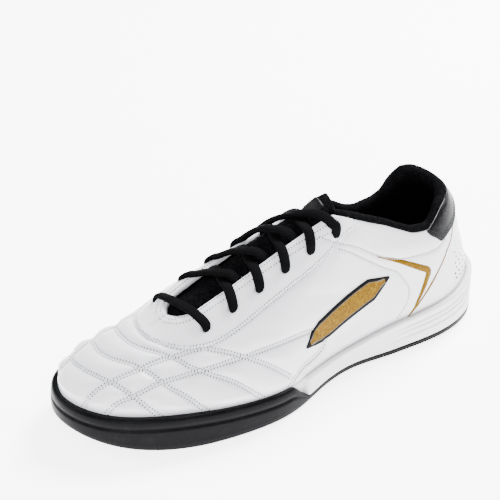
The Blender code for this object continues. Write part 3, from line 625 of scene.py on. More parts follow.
def add_piece(
    name: str,
    verts: np.ndarray,
    faces: Sequence[Sequence[int]],
    materials: Sequence[bpy.types.Material],
    slots: np.ndarray | None = None,
) -> bpy.types.Object:
    """Make an object that rides on the shoe's one body.

    Args:
        name: Name of the piece.
        verts: World points.
        faces: Corner indices of each face.
        materials: Its materials.
        slots: Material number of each face, if there are several.

    Returns:
        The new object.
    """
    mesh = bpy.data.meshes.new(name)
    mesh.from_pydata([tuple(v) for v in verts], [], [tuple(int(i) for i in f) for f in faces])
    for material in materials:
        mesh.materials.append(material)
    if slots is not None:
        mesh.polygons.foreach_set("material_index", np.asarray(slots, np.int32))
    mesh.shade_smooth()
    mesh.validate()
    mesh.update()
    made = bpy.data.objects.new(name, mesh)
    bpy.context.scene.collection.objects.link(made)
    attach(made, "root")
    return made


def store(made: bpy.types.Object, name: str, values: np.ndarray) -> None:
    """Keep a number for each vertex, for the materials.

    Args:
        made: The piece.
        name: Name of the attribute.
        values: A number for each vertex.
    """
    layer = made.data.attributes.new(name, "FLOAT", "POINT")
    layer.data.foreach_set("value", np.asarray(values, np.float32))


def grid_faces(rows: int, columns: int, around: bool = False, down: bool = False) -> np.ndarray:
    """Quads of a grid of vertices stored row by row.

    Args:
        rows: Number of rows.
        columns: Number of columns.
        around: Whether the columns close on themselves.
        down: Whether the rows close on themselves.

    Returns:
        Corner indices, one quad a line.
    """
    r = np.arange(rows if down else rows - 1)
    c = np.arange(columns if around else columns - 1)
    r, c = np.meshgrid(r, c, indexing="ij")
    r2, c2 = (r + 1) % rows, (c + 1) % columns
    quads = np.stack((r * columns + c, r2 * columns + c, r2 * columns + c2, r * columns + c2), axis=-1)
    return quads.reshape(-1, 4)


def tube_faces(rows: int, around: int, turned: bool = False) -> list[tuple[int, ...]]:
    """Faces of a tube of rings, with its two end caps.

    Args:
        rows: Number of rings.
        around: Vertices in each ring.
        turned: Whether the faces look the other way.

    Returns:
        Corner indices of each face.
    """
    faces = [tuple(f) for f in grid_faces(rows, around, around=True)]
    faces.append(tuple(range(around)))
    faces.append(tuple((rows - 1) * around + k for k in reversed(range(around))))
    return [f[::-1] for f in faces] if turned else faces


NEAR = 2e-6  # two points closer than this, in metres, are one


def weld(verts: np.ndarray, faces: np.ndarray) -> tuple[np.ndarray, list[list[int]], np.ndarray]:
    """Merge vertices that lie on one another.

    Args:
        verts: Points.
        faces: Quads.

    Returns:
        Points, faces without repeated corners, and the old number of each point kept.
    """
    _, first, back = np.unique(np.round(verts / NEAR).astype(np.int64), axis=0, return_index=True,
                               return_inverse=True)
    back = back.reshape(-1)
    merged = []
    for face in back[faces]:
        corners = [int(v) for k, v in enumerate(face) if v != face[k - 1]]
        if len(set(corners)) == len(corners) >= 3:
            merged.append(corners)
    return verts[first], merged, first


def normals_of(verts: np.ndarray, faces: Sequence[Sequence[int]]) -> np.ndarray:
    """Unit vertex normals of a mesh.

    Args:
        verts: Points.
        faces: Its faces.

    Returns:
        One normal for each point.
    """
    mesh = bpy.data.meshes.new("normals")
    mesh.from_pydata([tuple(v) for v in verts], [], [list(f) for f in faces])
    mesh.update()
    out = np.empty(len(verts) * 3, np.float32)
    mesh.vertex_normals.foreach_get("vector", out)
    bpy.data.meshes.remove(mesh)
    return out.reshape(-1, 3).astype(float)


def tree_of(points: np.ndarray) -> KDTree:
    """Lookup tree of points.

    Args:
        points: Points to find later.

    Returns:
        The balanced tree.
    """
    tree = KDTree(len(points))
    for i, point in enumerate(points):
        tree.insert(point, i)
    tree.balance()
    return tree


def nearest(points: np.ndarray, targets: np.ndarray) -> np.ndarray:
    """Distance from each point to the nearest target.

    Args:
        points: Points to measure from.
        targets: Points to measure to.

    Returns:
        The distances.
    """
    tree = tree_of(targets)
    return np.array([tree.find(p)[2] for p in points])


class Skin:
    """The upper's outer face, on which seams and trims are laid."""

    def __init__(self, last: Last, verts: np.ndarray, faces: Sequence[Sequence[int]]) -> None:
        """Keep the face for lookups."""
        self.last = last
        self.tree = BVHTree.FromPolygons([tuple(v) for v in verts], [tuple(f) for f in faces])

    def near(self, point: Sequence[float], out: float = 0.0) -> tuple[np.ndarray, np.ndarray]:
        """Nearest place and its normal.

        Args:
            point: World point.
            out: Distance to move the place outwards.

        Returns:
            The place and the outward normal there.
        """
        spot, normal, _, _ = self.tree.find_nearest(Vector(point))
        return np.array(spot + normal * out), np.array(normal)

    def beside(self, s: float, h: float, side: Side, out: float = 0.0) -> tuple[np.ndarray, np.ndarray]:
        """Place seen from the side at a shoe place, and its normal.

        Args:
            s: Distance forward.
            h: Height.
            side: Which side it is seen from.
            out: Distance to move the place outwards.

        Returns:
            The place and the outward normal there.
        """
        away = 0.2 * side.value
        start = Vector((away, self.last.s_middle - s, h))
        spot, normal, _, _ = self.tree.ray_cast(start, Vector((-side.value, 0, 0)))
        if spot is None or spot.x * side.value < -0.01:
            return self.near(start, out)
        return np.array(spot + normal * out), np.array(normal)


# Shader maths


class Value:
    """A number on a shader socket, with Python's operators."""

    def __init__(self, paint: Paint, socket: bpy.types.NodeSocket) -> None:
        """Wrap a socket."""
        self.paint = paint
        self.socket = socket

    def maths(self, operation: str, other: Value | float, swap: bool = False) -> Value:
        """One Math node with this value and another."""
        pair = (other, self) if swap else (self, other)
        return self.paint.node("ShaderNodeMath", {"operation": operation, "use_clamp": False},
                               {0: pair[0], 1: pair[1]})

    def __add__(self, other: Value | float) -> Value:
        """Sum."""
        return self.maths("ADD", other)

    def __sub__(self, other: Value | float) -> Value:
        """Difference."""
        return self.maths("SUBTRACT", other)

    def __rsub__(self, other: float) -> Value:
        """Difference from a number."""
        return self.maths("SUBTRACT", other, swap=True)

    def __mul__(self, other: Value | float) -> Value:
        """Product."""
        return self.maths("MULTIPLY", other)

    __radd__ = __add__
    __rmul__ = __mul__

    def sine(self) -> Value:
        """Sine of an angle."""
        return self.maths("SINE", 0.0)

    def size(self) -> Value:
        """Absolute value."""
        return self.maths("ABSOLUTE", 0.0)

    def above(self, edge: float, soft: float) -> Value:
        """0 below an edge, 1 above it, with a soft passage."""
        return self.paint.node(
            "ShaderNodeMapRange", {"interpolation_type": "SMOOTHSTEP"},
            {"Value": self, "From Min": edge - soft, "From Max": edge + soft, "To Min": 0.0, "To Max": 1.0})


class Paint:
    """A material under construction: one Principled shader and the nodes that feed it."""

    def __init__(self, name: str, **constants: float | tuple) -> None:
        """Start a material.

        Args:
            name: Name of the material.
            **constants: Values set on the shader's own sockets, with _ for each space.
        """
        self.material = bpy.data.materials.new(name)
        self.material.use_nodes = True
        self.tree = self.material.node_tree
        self.shader = self.tree.nodes["Principled BSDF"]
        for key, value in constants.items():
            self.shader.inputs[key.replace("_", " ")].default_value = value

    def node(self, kind: str, settings: dict, inputs: dict, output: int | str = 0) -> Value:
        """Add one node.

        Args:
            kind: Node type.
            settings: Settings that are made before anything is linked.
            inputs: Values or links, by socket.
            output: Which output to hand back.

        Returns:
            The output socket, wrapped.
        """
        made = self.tree.nodes.new(kind)
        for key, value in settings.items():
            setattr(made, key, value)
        for key, value in inputs.items():
            if isinstance(value, Value):
                self.tree.links.new(value.socket, made.inputs[key])
            else:
                made.inputs[key].default_value = value
        return Value(self, made.outputs[output])

    def place(self) -> Value:
        """Object coordinates."""
        return self.node("ShaderNodeTexCoord", {}, {}, "Object")

    def noise(self, size: float, detail: float = 3.0, rough: float = 0.5) -> Value:
        """Noise with features of a size in metres, from 0 to 1."""
        return self.node("ShaderNodeTexNoise", {"noise_dimensions": "3D"},
                         {"Vector": self.place(), "Scale": 1.0 / size, "Detail": detail, "Roughness": rough}, 0)

    def cells(self, size: float, feature: str = "F1") -> Value:
        """Distance within Voronoi cells of a size in metres."""
        return self.node("ShaderNodeTexVoronoi", {"feature": feature},
                         {"Vector": self.place(), "Scale": 1.0 / size}, "Distance")

    def stored(self, name: str) -> Value:
        """A number kept on the mesh."""
        return self.node("ShaderNodeAttribute", {"attribute_type": "GEOMETRY", "attribute_name": name}, {}, "Fac")

    def mix(self, factor: Value | float, one: Value | tuple, two: Value | tuple) -> Value:
        """Blend of two colours.

        Args:
            factor: Share of the second colour.
            one: First colour.
            two: Second colour.

        Returns:
            The blend.
        """
        made = self.tree.nodes.new("ShaderNodeMix")
        made.data_type = "RGBA"
        for key, value in ((0, factor), (6, one), (7, two)):
            if isinstance(value, Value):
                self.tree.links.new(value.socket, made.inputs[key])
            else:
                made.inputs[key].default_value = value if key == 0 else (*value, 1.0)
        return Value(self, made.outputs[2])

    def feed(self, **links: Value) -> None:
        """Link values to the shader, with _ for each space in a socket's name."""
        for key, value in links.items():
            self.tree.links.new(value.socket, self.shader.inputs[key.replace("_", " ")])

    def bump(self, height: Value, distance: float, strength: float = 1.0) -> None:
        """Raise the surface by a height field, in metres."""
        made = self.node("ShaderNodeBump", {}, {"Height": height, "Distance": distance, "Strength": strength})
        self.feed(Normal=made)


# Finishes


@dataclass(frozen=True)
class Leather:
    """Soft white leather with a fine grain and a pearly sheen."""

    name: str = "white_leather"
    colour: tuple = (0.72, 0.725, 0.755)
    # colour of the painted shade in seams, at the sole's edge and in lace-hole pits
    shade: tuple = (0.46, 0.47, 0.51)
    grain: float = 0.0011
    grain_depth: float = 0.00005
    roughness: float = 0.40

    def material(self) -> bpy.types.Material:
        """Build the material.

        Returns:
            The material.
        """
        paint = Paint(self.name, Specular_IOR_Level=0.5, Coat_Weight=0.20, Coat_Roughness=0.32)
        cloud = paint.noise(0.030, 2.0)
        fine = paint.noise(0.0035, 4.0)
        painted_shade = paint.stored("painted_shade")
        pearl = paint.mix(cloud, self.colour, (self.colour[0] * 0.985, self.colour[1] * 0.98, self.colour[2]))
        # painted shade: the colour goes towards the shade colour where the upper's mask marks seams, the sole's edge
        # and lace-hole pits
        paint.feed(Base_Color=paint.mix(painted_shade * (0.55 + 0.45 * fine), pearl, self.shade))
        paint.feed(Roughness=self.roughness + (fine - 0.5) * 0.16 + painted_shade * 0.12)
        cells = paint.cells(self.grain, "DISTANCE_TO_EDGE").above(0.09, 0.09)
        paint.bump(cells * 0.7 + paint.noise(0.0006, 2.0) * 0.5 + fine * 2.0, self.grain_depth)
        return paint.material


@dataclass(frozen=True)
class Foam:
    """Moulded white foam of a faint pink colour, painted a pinker grey as shade in its rib grooves and joins."""

    name: str = "white_foam"
    colour: tuple = (0.70, 0.685, 0.695)
    # pinker grey of the painted shade in rib grooves and joins, also mixed in a little at random as a tone change
    tint_and_painted_shade: tuple = (0.58, 0.50, 0.515)

    def material(self) -> bpy.types.Material:
        """Build the material.

        Returns:
            The material.
        """
        paint = Paint(self.name, Specular_IOR_Level=0.35)
        fine = paint.noise(0.0022, 3.0)
        painted_shade = paint.stored("painted_shade")
        # painted shade: the colour goes towards the pinker grey where the midsole's mask marks rib grooves and joins; a
        # little noise varies the tone
        paint.feed(Base_Color=paint.mix(painted_shade * 0.8 + fine * 0.06, self.colour, self.tint_and_painted_shade))
        paint.feed(Roughness=0.46 + (fine - 0.5) * 0.14)
        paint.bump(fine + paint.noise(0.0007, 2.0) * 0.4, 0.00006)
        return paint.material


@dataclass(frozen=True)
class Rubber:
    """Black moulded rubber, lightly polished."""

    name: str = "black_rubber"
    colour: tuple = (0.0018, 0.0018, 0.0024)
    dust: tuple = (0.0045, 0.0045, 0.0055)

    def material(self) -> bpy.types.Material:
        """Build the material.

        Returns:
            The material.
        """
        paint = Paint(self.name, Specular_IOR_Level=0.045)
        fine = paint.noise(0.0030, 4.0)
        smear = paint.noise(0.022, 3.0)
        paint.feed(Base_Color=paint.mix((fine * smear).above(0.36, 0.16), self.colour, self.dust))
        paint.feed(Roughness=0.36 + (fine - 0.5) * 0.20 + (smear - 0.5) * 0.16)
        paint.bump(paint.noise(0.0008, 3.0) + fine * 0.8, 0.00007)
        return paint.material


@dataclass(frozen=True)
class Mesh:
    """Black padded mesh: a small knitted cell pattern."""

    name: str = "black_textile"
    colour: tuple = (0.0006, 0.0006, 0.0008)
    light: tuple = (0.0040, 0.0040, 0.0046)
    cell: float = 0.0013

    def material(self) -> bpy.types.Material:
        """Build the material.

        Returns:
            The material.
        """
        paint = Paint(self.name, Specular_IOR_Level=0.012)
        cells = paint.cells(self.cell)
        fuzz = paint.noise(0.0005, 3.0)
        paint.feed(Base_Color=paint.mix(cells.above(0.50, 0.25) * 0.65 + fuzz * 0.25, self.colour, self.light))
        paint.feed(Roughness=0.80 + (fuzz - 0.5) * 0.20)
        paint.bump(1.0 - cells.above(0.42, 0.30) + fuzz * 0.5 + paint.noise(0.012, 2.0) * 1.5, 0.00022)
        return paint.material


@dataclass(frozen=True)
class Braid:
    """Black woven lace: chevrons of thread across its width."""

    name: str = "black_lace"
    colour: tuple = (0.0006, 0.0006, 0.0008)
    light: tuple = (0.0045, 0.0045, 0.0050)
    pitch: float = 0.0009

    def material(self) -> bpy.types.Material:
        """Build the material.

        Returns:
            The material.
        """
        paint = Paint(self.name, Specular_IOR_Level=0.015)
        along, across = paint.stored("along"), paint.stored("across")
        turn = (along + across.size() * 0.8) * (2 * math.pi / self.pitch)
        thread = turn.sine() * 0.5 + 0.5
        rib = (across * (2 * math.pi / 0.0008)).sine() * 0.5 + 0.5
        fuzz = paint.noise(0.0004, 3.0)
        weave = thread * 0.65 + rib * 0.35
        paint.feed(Base_Color=paint.mix(weave * 0.6 + fuzz * 0.25, self.colour, self.light))
        paint.feed(Roughness=0.74 + (fuzz - 0.5) * 0.24)
        paint.bump(weave + fuzz * 0.4, 0.00020)
        return paint.material


@dataclass(frozen=True)
class Gloss:
    """Black coated patch with a soft shine."""

    name: str = "black_gloss"
    colour: tuple = (0.0016, 0.0016, 0.0022)

    def material(self) -> bpy.types.Material:
        """Build the material.

        Returns:
            The material.
        """
        paint = Paint(self.name, Specular_IOR_Level=0.11)
        fine = paint.noise(0.0016, 3.0)
        paint.feed(Base_Color=paint.mix(fine, self.colour, tuple(1.7 * v for v in self.colour)))
        paint.feed(Roughness=0.30 + (fine - 0.5) * 0.22)
        paint.bump(paint.cells(0.0009, "DISTANCE_TO_EDGE").above(0.10, 0.10) + fine, 0.00005)
        return paint.material


@dataclass(frozen=True)
class Foil:
    """Gold foil print with a mottled shine."""

    name: str = "gold_foil"
    colour: tuple = (0.105, 0.050, 0.0004)
    light: tuple = (0.23, 0.138, 0.0060)

    def material(self) -> bpy.types.Material:
        """Build the material.

        Returns:
            The material.
        """
        paint = Paint(self.name, Specular_IOR_Level=0.04)
        mottle = paint.noise(0.0016, 5.0, 0.7).above(0.55, 0.14)
        broad = paint.noise(0.012, 2.0)
        paint.feed(Base_Color=paint.mix(mottle * (0.35 + 0.65 * broad), self.colour, self.light))
        paint.feed(Roughness=0.34 + mottle * 0.14, Metallic=0.08 + mottle * 0.10)
        paint.bump(mottle + paint.noise(0.0007, 2.0), 0.00005)
        return paint.material


@dataclass(frozen=True)
class Plain:
    """A small trim in one tone, such as thread or an outline, or a dark disc painted as the shade in a needle hole."""

    name: str
    colour: tuple
    roughness: float = 0.6

    def material(self) -> bpy.types.Material:
        """Build the material.

        Returns:
            The material.
        """
        paint = Paint(self.name, Specular_IOR_Level=0.1)
        fine = paint.noise(0.0006, 2.0)
        paint.feed(Base_Color=paint.mix(fine * 0.35, self.colour, tuple(0.8 * v for v in self.colour)))
        paint.feed(Roughness=self.roughness + (fine - 0.5) * 0.15)
        return paint.material


@dataclass(frozen=True)
class Finishes:
    """Every material of the shoe."""

    leather: bpy.types.Material
    foam: bpy.types.Material
    rubber: bpy.types.Material
    mesh: bpy.types.Material
    braid: bpy.types.Material
    gloss: bpy.types.Material
    foil: bpy.types.Material
    thread: bpy.types.Material
    dark_thread: bpy.types.Material
    pinhole: bpy.types.Material
    outline: bpy.types.Material
    inline: bpy.types.Material

    @classmethod
    def make(cls) -> Finishes:
        """Build them all.

        Returns:
            The set.
        """
        return cls(
            leather=Leather().material(),
            foam=Foam().material(),
            rubber=Rubber().material(),
            mesh=Mesh().material(),
            braid=Braid().material(),
            gloss=Gloss().material(),
            foil=Foil().material(),
            thread=Plain("white_thread", (0.80, 0.80, 0.82), 0.55).material(),
            dark_thread=Plain("dark_thread", (0.030, 0.030, 0.034), 0.5).material(),
            # dark grey discs painted as the shade in the needle holes
            pinhole=Plain("pinhole", (0.040, 0.040, 0.046), 0.8).material(),
            outline=Plain("black_outline", (0.001, 0.001, 0.0012), 0.7).material(),
            inline=Plain("pale_inline", (0.10, 0.095, 0.085), 0.45).material(),
        )


# The upper


@dataclass(frozen=True)
class Seam:
    """A stitched line on the upper.

    Attributes:
        name: What it is.
        points: Shoe points near the face, in millimetres.
        rows: How many rows of stitches it has.
        both: Whether the other side has its mirror image.
    """

    name: str
    points: tuple[tuple[float, float, float], ...]
    rows: int = 2
    both: bool = False


SEAMS = (
    Seam("eyestay", (
        (103, 20, 92), (110, 21, 90), (121, 23, 84), (134, 25, 78), (152, 27, 72), (172, 29, 65), (187, 29, 58),
        (201, 29, 54), (211, 26, 52), (219, 21, 51), (227, 12, 51), (232, 4, 52), (233, -2, 52), (232, -10, 52),
        (228, -19, 50), (221, -28, 47), (211, -34, 47), (199, -36, 50), (187, -36, 54), (172, -34, 61),
        (152, -32, 68), (134, -30, 74), (121, -28, 80), (110, -26, 86), (103, -25, 89))),
    Seam("vamp_1", ((208, 29, 51), (197, 36, 48), (185, 42, 42), (174, 45, 34), (163, 47, 24)), both=True),
    Seam("vamp_2", (
        (184, 49, 19), (190, 48, 25), (200, 44, 34), (210, 38, 39), (219, 31, 43), (226, 22, 47), (234, 13, 49),
        (240, 5, 50), (242.5, -4, 50), (242, -14, 49), (239, -23, 46), (232, -34, 38), (224, -40, 28), (219, -42, 22))),
    Seam("vamp_3", (
        (218, 44, 21), (229, 37, 32), (236, 31, 37), (242, 22, 43), (249, 12, 46), (255, 3, 46), (258, -7, 46),
        (256, -18, 44), (251, -28, 39), (243, -37, 29), (238, -40, 22))),
    Seam("vamp_4", (
        (243, 38, 22), (254, 27, 34), (260, 18, 39), (266, 8, 41), (270, -3, 41), (271, -13, 40), (268, -23, 37),
        (262, -32, 29), (258, -37, 21))),
    Seam("vamp_5", (
        (281, 8, 20), (277, 11, 30), (270, 12, 36), (262, 14, 40), (250, 17, 44), (235, 19, 47), (221, 23, 49),
        (210, 27, 51)), both=True),
    Seam("vamp_6", (
        (273, 20, 20), (269, 22, 28), (263, 23, 32), (255, 26, 35), (241, 28, 39), (230, 30, 40), (214, 34, 42),
        (198, 39, 45), (179, 41, 46), (167, 41, 46), (152, 39, 45), (142, 38, 43), (136, 37, 39), (133, 37, 33),
        (136, 38, 28), (143, 41, 26), (152, 44, 25), (159, 46, 22), (166, 48, 17)), both=True),
    Seam("ankle", (
        (126, 18, 92), (117, 22, 87), (104, 24, 81), (94, 25, 74), (84, 27, 68), (73, 28, 64), (58, 29, 62.5),
        (46, 28, 62), (37, 25, 65)), rows=1, both=True),
    Seam("counter", (
        (115, 24, 83), (107, 25, 78), (95, 27, 69), (84, 28, 61), (77, 29, 57), (72, 31, 51), (68, 32, 43),
        (69, 33, 35), (77, 33, 24)), rows=1, both=True),
)


@dataclass(frozen=True)
class Crease:
    """A soft trough or ridge in the leather.

    Attributes:
        points: Shoe points near the face, in millimetres.
        depth: Depth at its middle, below 0 for a ridge.
        width: Half width at which it has nearly faded.
        both: Whether the other side has its mirror image.
    """

    points: tuple[tuple[float, float, float], ...]
    depth: float
    width: float
    both: bool = False


CREASES = (
    # puckers from the lace holes across the eyestay
    Crease(((204, 22, 56), (207, 25, 54), (208, 28, 52)), 0.00040, 0.0022, True),
    Crease(((188, 21, 64), (189, 24, 62), (190, 28, 59)), 0.00045, 0.0024, True),
    Crease(((170, 21, 71), (171, 24, 69), (172, 28, 66)), 0.00045, 0.0024, True),
    Crease(((152, 21, 78), (153, 24, 76), (153, 27, 73)), 0.00045, 0.0024, True),
    Crease(((134, 20, 84), (134, 23, 82), (134, 26, 79)), 0.00040, 0.0024, True),
    # folds on the quarter, below the eyestay and behind the ball
    Crease(((206, 31, 49), (199, 38, 44), (191, 43, 36), (184, 46, 27)), 0.00070, 0.0045),
    Crease(((196, 33, 51), (188, 39, 46), (180, 43, 38)), -0.00045, 0.0050),
    Crease(((182, 32, 57), (170, 36, 53), (156, 37, 50)), 0.00050, 0.0050, True),
    Crease(((150, 30, 66), (136, 31, 62), (122, 32, 58), (110, 32, 55)), 0.00060, 0.0060, True),
    Crease(((128, 38, 26), (118, 37, 30), (106, 35, 33), (94, 34, 34)), 0.00050, 0.0055, True),
    # bend of the collar's front corner and of the padded ankle
    Crease(((112, 21, 89), (118, 24, 83), (126, 27, 76)), 0.00055, 0.0040, True),
    Crease(((88, 24, 76), (76, 25, 71), (62, 26, 69), (50, 25, 70)), -0.00060, 0.0065, True),
    Crease(((46, 27, 64), (38, 27, 58), (31, 27, 50)), 0.00045, 0.0045, True),
    # back of the heel, under the patch and above the foam
    Crease(((24, 22, 62), (17, 16, 60), (13, 8, 59), (12, 0, 59)), 0.00045, 0.0040, True),
    Crease(((30, 30, 36), (20, 24, 37), (12, 14, 38), (8, 0, 38)), -0.00040, 0.0060, True),
    # toe: broad sag in front of the throat and one fold on each side of the cap
    Crease(((236, 12, 49), (238, 2, 50), (238, -8, 50), (234, -20, 47)), 0.00040, 0.0040),
    Crease(((262, -26, 35), (255, -33, 31), (247, -38, 26)), 0.00050, 0.0045),
    Crease(((214, -38, 42), (206, -43, 36), (198, -46, 28)), 0.00070, 0.0050),
    Crease(((226, -34, 42), (219, -40, 35), (212, -44, 27)), -0.00040, 0.0050),
)


@dataclass
class Upper:
    """White leather shell, empty inside: open at collar, throat and underneath, with a raised eyestay.

    Attributes:
        wall: Thickness of the shell.
        eyestay_rise: How far the second layer round the throat stands up.
        groove: Depth of a seam's valley.
        puff: Height of the padding between seams.
    """

    last: Last
    finishes: Finishes
    wall: float = 0.0022
    eyestay_rise: float = 0.00125
    groove: float = 0.00060
    puff: float = 0.0019
    valley: float = 0.0010
    shoulder: float = 0.0085
    bulge: float = 0.0010
    smoothing: int = 7
    columns: tuple[int, int, int] = (26, 150, 58)
    outer_rows: int = 112
    inner_rows: int = 12
    stitch: float = 0.00185
    row_gap: float = 0.0024
    edge_rows: tuple[float, float] = (0.0024, 0.0046)
    hole_radius: float = 0.0021
    eyelet_first: float = 0.7104
    eyelet_last: float = 0.402
    eyelet_pairs: int = 6
    eyelet_low: float = 0.0125
    eyelet_high: float = 0.0092
    medial_ahead: float = 0.0080
    medial_low: float = 0.0085
    medial_high: float = 0.0060

    def eyelet(self, pair: int, side: int) -> tuple[Column, float]:
        """Column and q of a lace hole, pair 1 at the toe end.

        Args:
            pair: Number of the pair.
            side: 1 for the lateral side, -1 for the medial.

        Returns:
            The column and the q.
        """
        share = (pair - 1) / (self.eyelet_pairs - 1)
        at = self.eyelet_first + (self.eyelet_last - self.eyelet_first) * share
        low, high = self.eyelet_low, self.eyelet_high
        if side < 0:
            at += self.medial_ahead / LENGTH
            low, high = self.medial_low, self.medial_high
        c = self.last.column(at, side)
        edge = self.last.q_at_distance(c, self.last.throat_side(at))
        return c, self.last.q_below(c, edge, low + (high - low) * share)

    def seam_paths(self, skin: Skin) -> dict[str, np.ndarray]:
        """World path of the middle of every seam.

        Args:
            skin: The plain form's outer face.

        Returns:
            Even samples by the seam's name.
        """
        step = 0.8 * MM
        paths = {}
        for seam in SEAMS:
            shoe = smooth_path(seam.points, 1.5) * MM
            paths[seam.name] = even(np.array([skin.near(p)[0] for p in self.last.world(shoe)]), step)
            if seam.both:
                turned = self.last.world(self.last.mirrored(shoe))
                paths[seam.name + "_medial"] = even(np.array([skin.near(p)[0] for p in turned]), step)
        return paths

    def throat_rows(self) -> list[np.ndarray]:
        """World paths at even distances outside the throat's edge.

        Returns:
            The edge itself and the paths of its rows of stitches.
        """
        last = self.last
        ats = np.r_[np.linspace(0.393, 0.70, 60), np.linspace(0.703, last.throat_end, 60)]
        right = [(at * LENGTH, last.throat_half_width(at)) for at in ats]
        left = [(s, -w) for s, w in reversed(right)]
        edge = even(np.array(right + left), 1.0 * MM)
        along = np.gradient(edge, axis=0)
        along /= np.linalg.norm(along, axis=1)[:, None]
        out = np.c_[-along[:, 1], along[:, 0]]
        rows = []
        for distance in (0.0, *self.edge_rows):
            flat = edge + out * distance
            shoe = [last.from_above(s, w + last.spine_side(min(s / LENGTH, last.toe_centre))) for s, w in flat]
            rows.append(even(last.world(shoe), 0.8 * MM))
        return rows

    def inside_eyestay(self, verts: np.ndarray) -> np.ndarray:
        """Distance of each point inside the eyestay's seam, negative outside.

        Args:
            verts: World points.

        Returns:
            The distances.
        """
        loop = self.paths["eyestay"][:, :2]
        far = nearest(verts, self.paths["eyestay"])
        inside = np.zeros(len(verts), bool)
        x, y = verts[:, 0], verts[:, 1]
        for (x0, y0), (x1, y1) in zip(loop, np.roll(loop, -1, 0)):
            crosses = (y0 > y) != (y1 > y)
            if y0 != y1:
                inside ^= crosses & (x < (x1 - x0) * (y - y0) / (y1 - y0) + x0)
        return np.where(inside & (verts[:, 2] > 0.035), far, -far)

    def build(self) -> Skin:
        """Build the shell and keep its seams.

        Returns:
            The shell's outer face, on which trims are laid.
        """
        last = self.last
        ring = last.ring(*self.columns)
        count = len(ring)
        places, drops, rises, opens = [], [], [], []
        sole_top = Sole(last, self.finishes).visible_top
        for c in ring:
            length = last.lengths(c)
            top = last.q_top(c)
            total = float(np.interp(top, last.fine, length))
            marks = np.linspace(0, total, self.outer_rows)
            face = last.profile(c, np.interp(marks, length, last.fine))
            places.append(last.lift(c, face[:, 0], face[:, 1]))
            drops.append(total - marks)
            hidden = float(np.interp(sole_top(c), last.profile(c, last.fine)[:, 1], length))
            rises.append(marks - hidden)
            opens.append(top < 1.0)
        outer = last.world(np.array(places).transpose(1, 0, 2).reshape(-1, 3))
        drop = np.array(drops).T.reshape(-1)
        rise = np.array(rises).T.reshape(-1)
        verts, merged, kept = weld(outer, grid_faces(self.outer_rows, count, around=True))
        normals = normals_of(verts, merged)
        self.paths = self.seam_paths(Skin(last, verts, merged))
        self.rows = self.throat_rows()
        lift, painted_shade = self.relief(verts, merged, drop[kept], rise[kept])
        raised = verts + normals * lift[:, None]
        number = {tuple(v): i for i, v in enumerate(np.round(verts / NEAR).astype(np.int64))}
        back = np.array([number[tuple(v)] for v in np.round(outer / NEAR).astype(np.int64)])
        self.close(raised, normals, merged, back.reshape(self.outer_rows, count), opens, painted_shade)
        return Skin(last, raised, merged)

    def soften(self, values: np.ndarray, faces: Sequence[Sequence[int]]) -> np.ndarray:
        """Average each value with its neighbours a few times, so that pillows have no ridges.

        Args:
            values: A value for each point.
            faces: Faces that join the points.

        Returns:
            The softened values.
        """
        pairs = np.array([(f[k - 1], v) for f in faces for k, v in enumerate(f)])
        one, two = np.r_[pairs[:, 0], pairs[:, 1]], np.r_[pairs[:, 1], pairs[:, 0]]
        share = np.bincount(one, minlength=len(values))
        for _ in range(self.smoothing):
            values = 0.4 * values + 0.6 * np.bincount(one, values[two], len(values)) / share
        return values

    def folds(self, verts: np.ndarray, skin: Skin) -> np.ndarray:
        """Depth of the creases at each point.

        Args:
            verts: World points of the plain form.
            skin: The plain form's outer face.

        Returns:
            Depth in metres, below 0 on ridges.
        """
        depth = np.zeros(len(verts))
        for crease in CREASES:
            shoe = smooth_path(crease.points, 1.0) * MM
            for path in (shoe, self.last.mirrored(shoe))[:2 if crease.both else 1]:
                spots = np.array([skin.near(p)[0] for p in self.last.world(path)])
                tree = tree_of(spots)
                low, high = spots.min(axis=0) - 2.5 * crease.width, spots.max(axis=0) + 2.5 * crease.width
                for i in np.nonzero(((verts > low) & (verts < high)).all(axis=1))[0]:
                    _, at, far = tree.find(verts[i])
                    swell = math.sin(math.pi * (at + 0.5) / len(spots)) ** 0.7
                    depth[i] += crease.depth * swell * math.exp(-(1.6 * far / crease.width) ** 2)
        return depth

    def relief(
        self,
        verts: np.ndarray,
        faces: Sequence[Sequence[int]],
        drop: np.ndarray,
        rise: np.ndarray,
    ) -> tuple[np.ndarray, np.ndarray]:
        """Height of the padding, seams, eyestay and creases over the plain form.

        Args:
            verts: World points of the plain form.
            faces: Its faces.
            drop: Distance of each below the top edge.
            rise: Distance of each above the sole's edge.

        Returns:
            Height in metres and the painted shade of each place, from 0 to 1, which darkens the leather in seams, at
            the sole's edge and in the lace-hole pits.
        """
        doubles = {seam.name for seam in SEAMS if seam.rows == 2}
        quilt = np.vstack([path for name, path in self.paths.items() if name.split("_medial")[0] in doubles])
        single = np.vstack([path for name, path in self.paths.items() if name.split("_medial")[0] not in doubles])
        far = nearest(verts, quilt)
        near_single = nearest(verts, single)
        edge = nearest(verts, self.rows[0])
        inside = self.inside_eyestay(verts)
        s = self.last.s_middle - verts[:, 1]
        front = ease((s - 0.120) / 0.050)
        soft = np.array([noise.noise(Vector(v * 55.0)) for v in verts])
        pad = self.puff * (0.25 + 0.75 * front) * (1 + 0.25 * soft)
        pillow = np.sin(np.clip((far - self.valley) / self.shoulder, 0, 1) * math.pi / 2)
        above = ease((rise - 0.0003) / 0.0055)
        lift = self.soften(pad * pillow, faces) + 0.00025 * soft - self.groove * np.exp(-(far / 0.0022) ** 2)
        lift += self.bulge * (ease((s - 0.150) / 0.05) + 0.9 * ease((s - 0.245) / 0.025))
        lift -= self.folds(verts, Skin(self.last, verts, faces))
        lift *= above * ease((drop + 0.001) / 0.004)
        stay = ease((inside + 0.0012) / 0.0020)
        lift = lift * (1 - 0.60 * stay) + self.eyestay_rise * stay
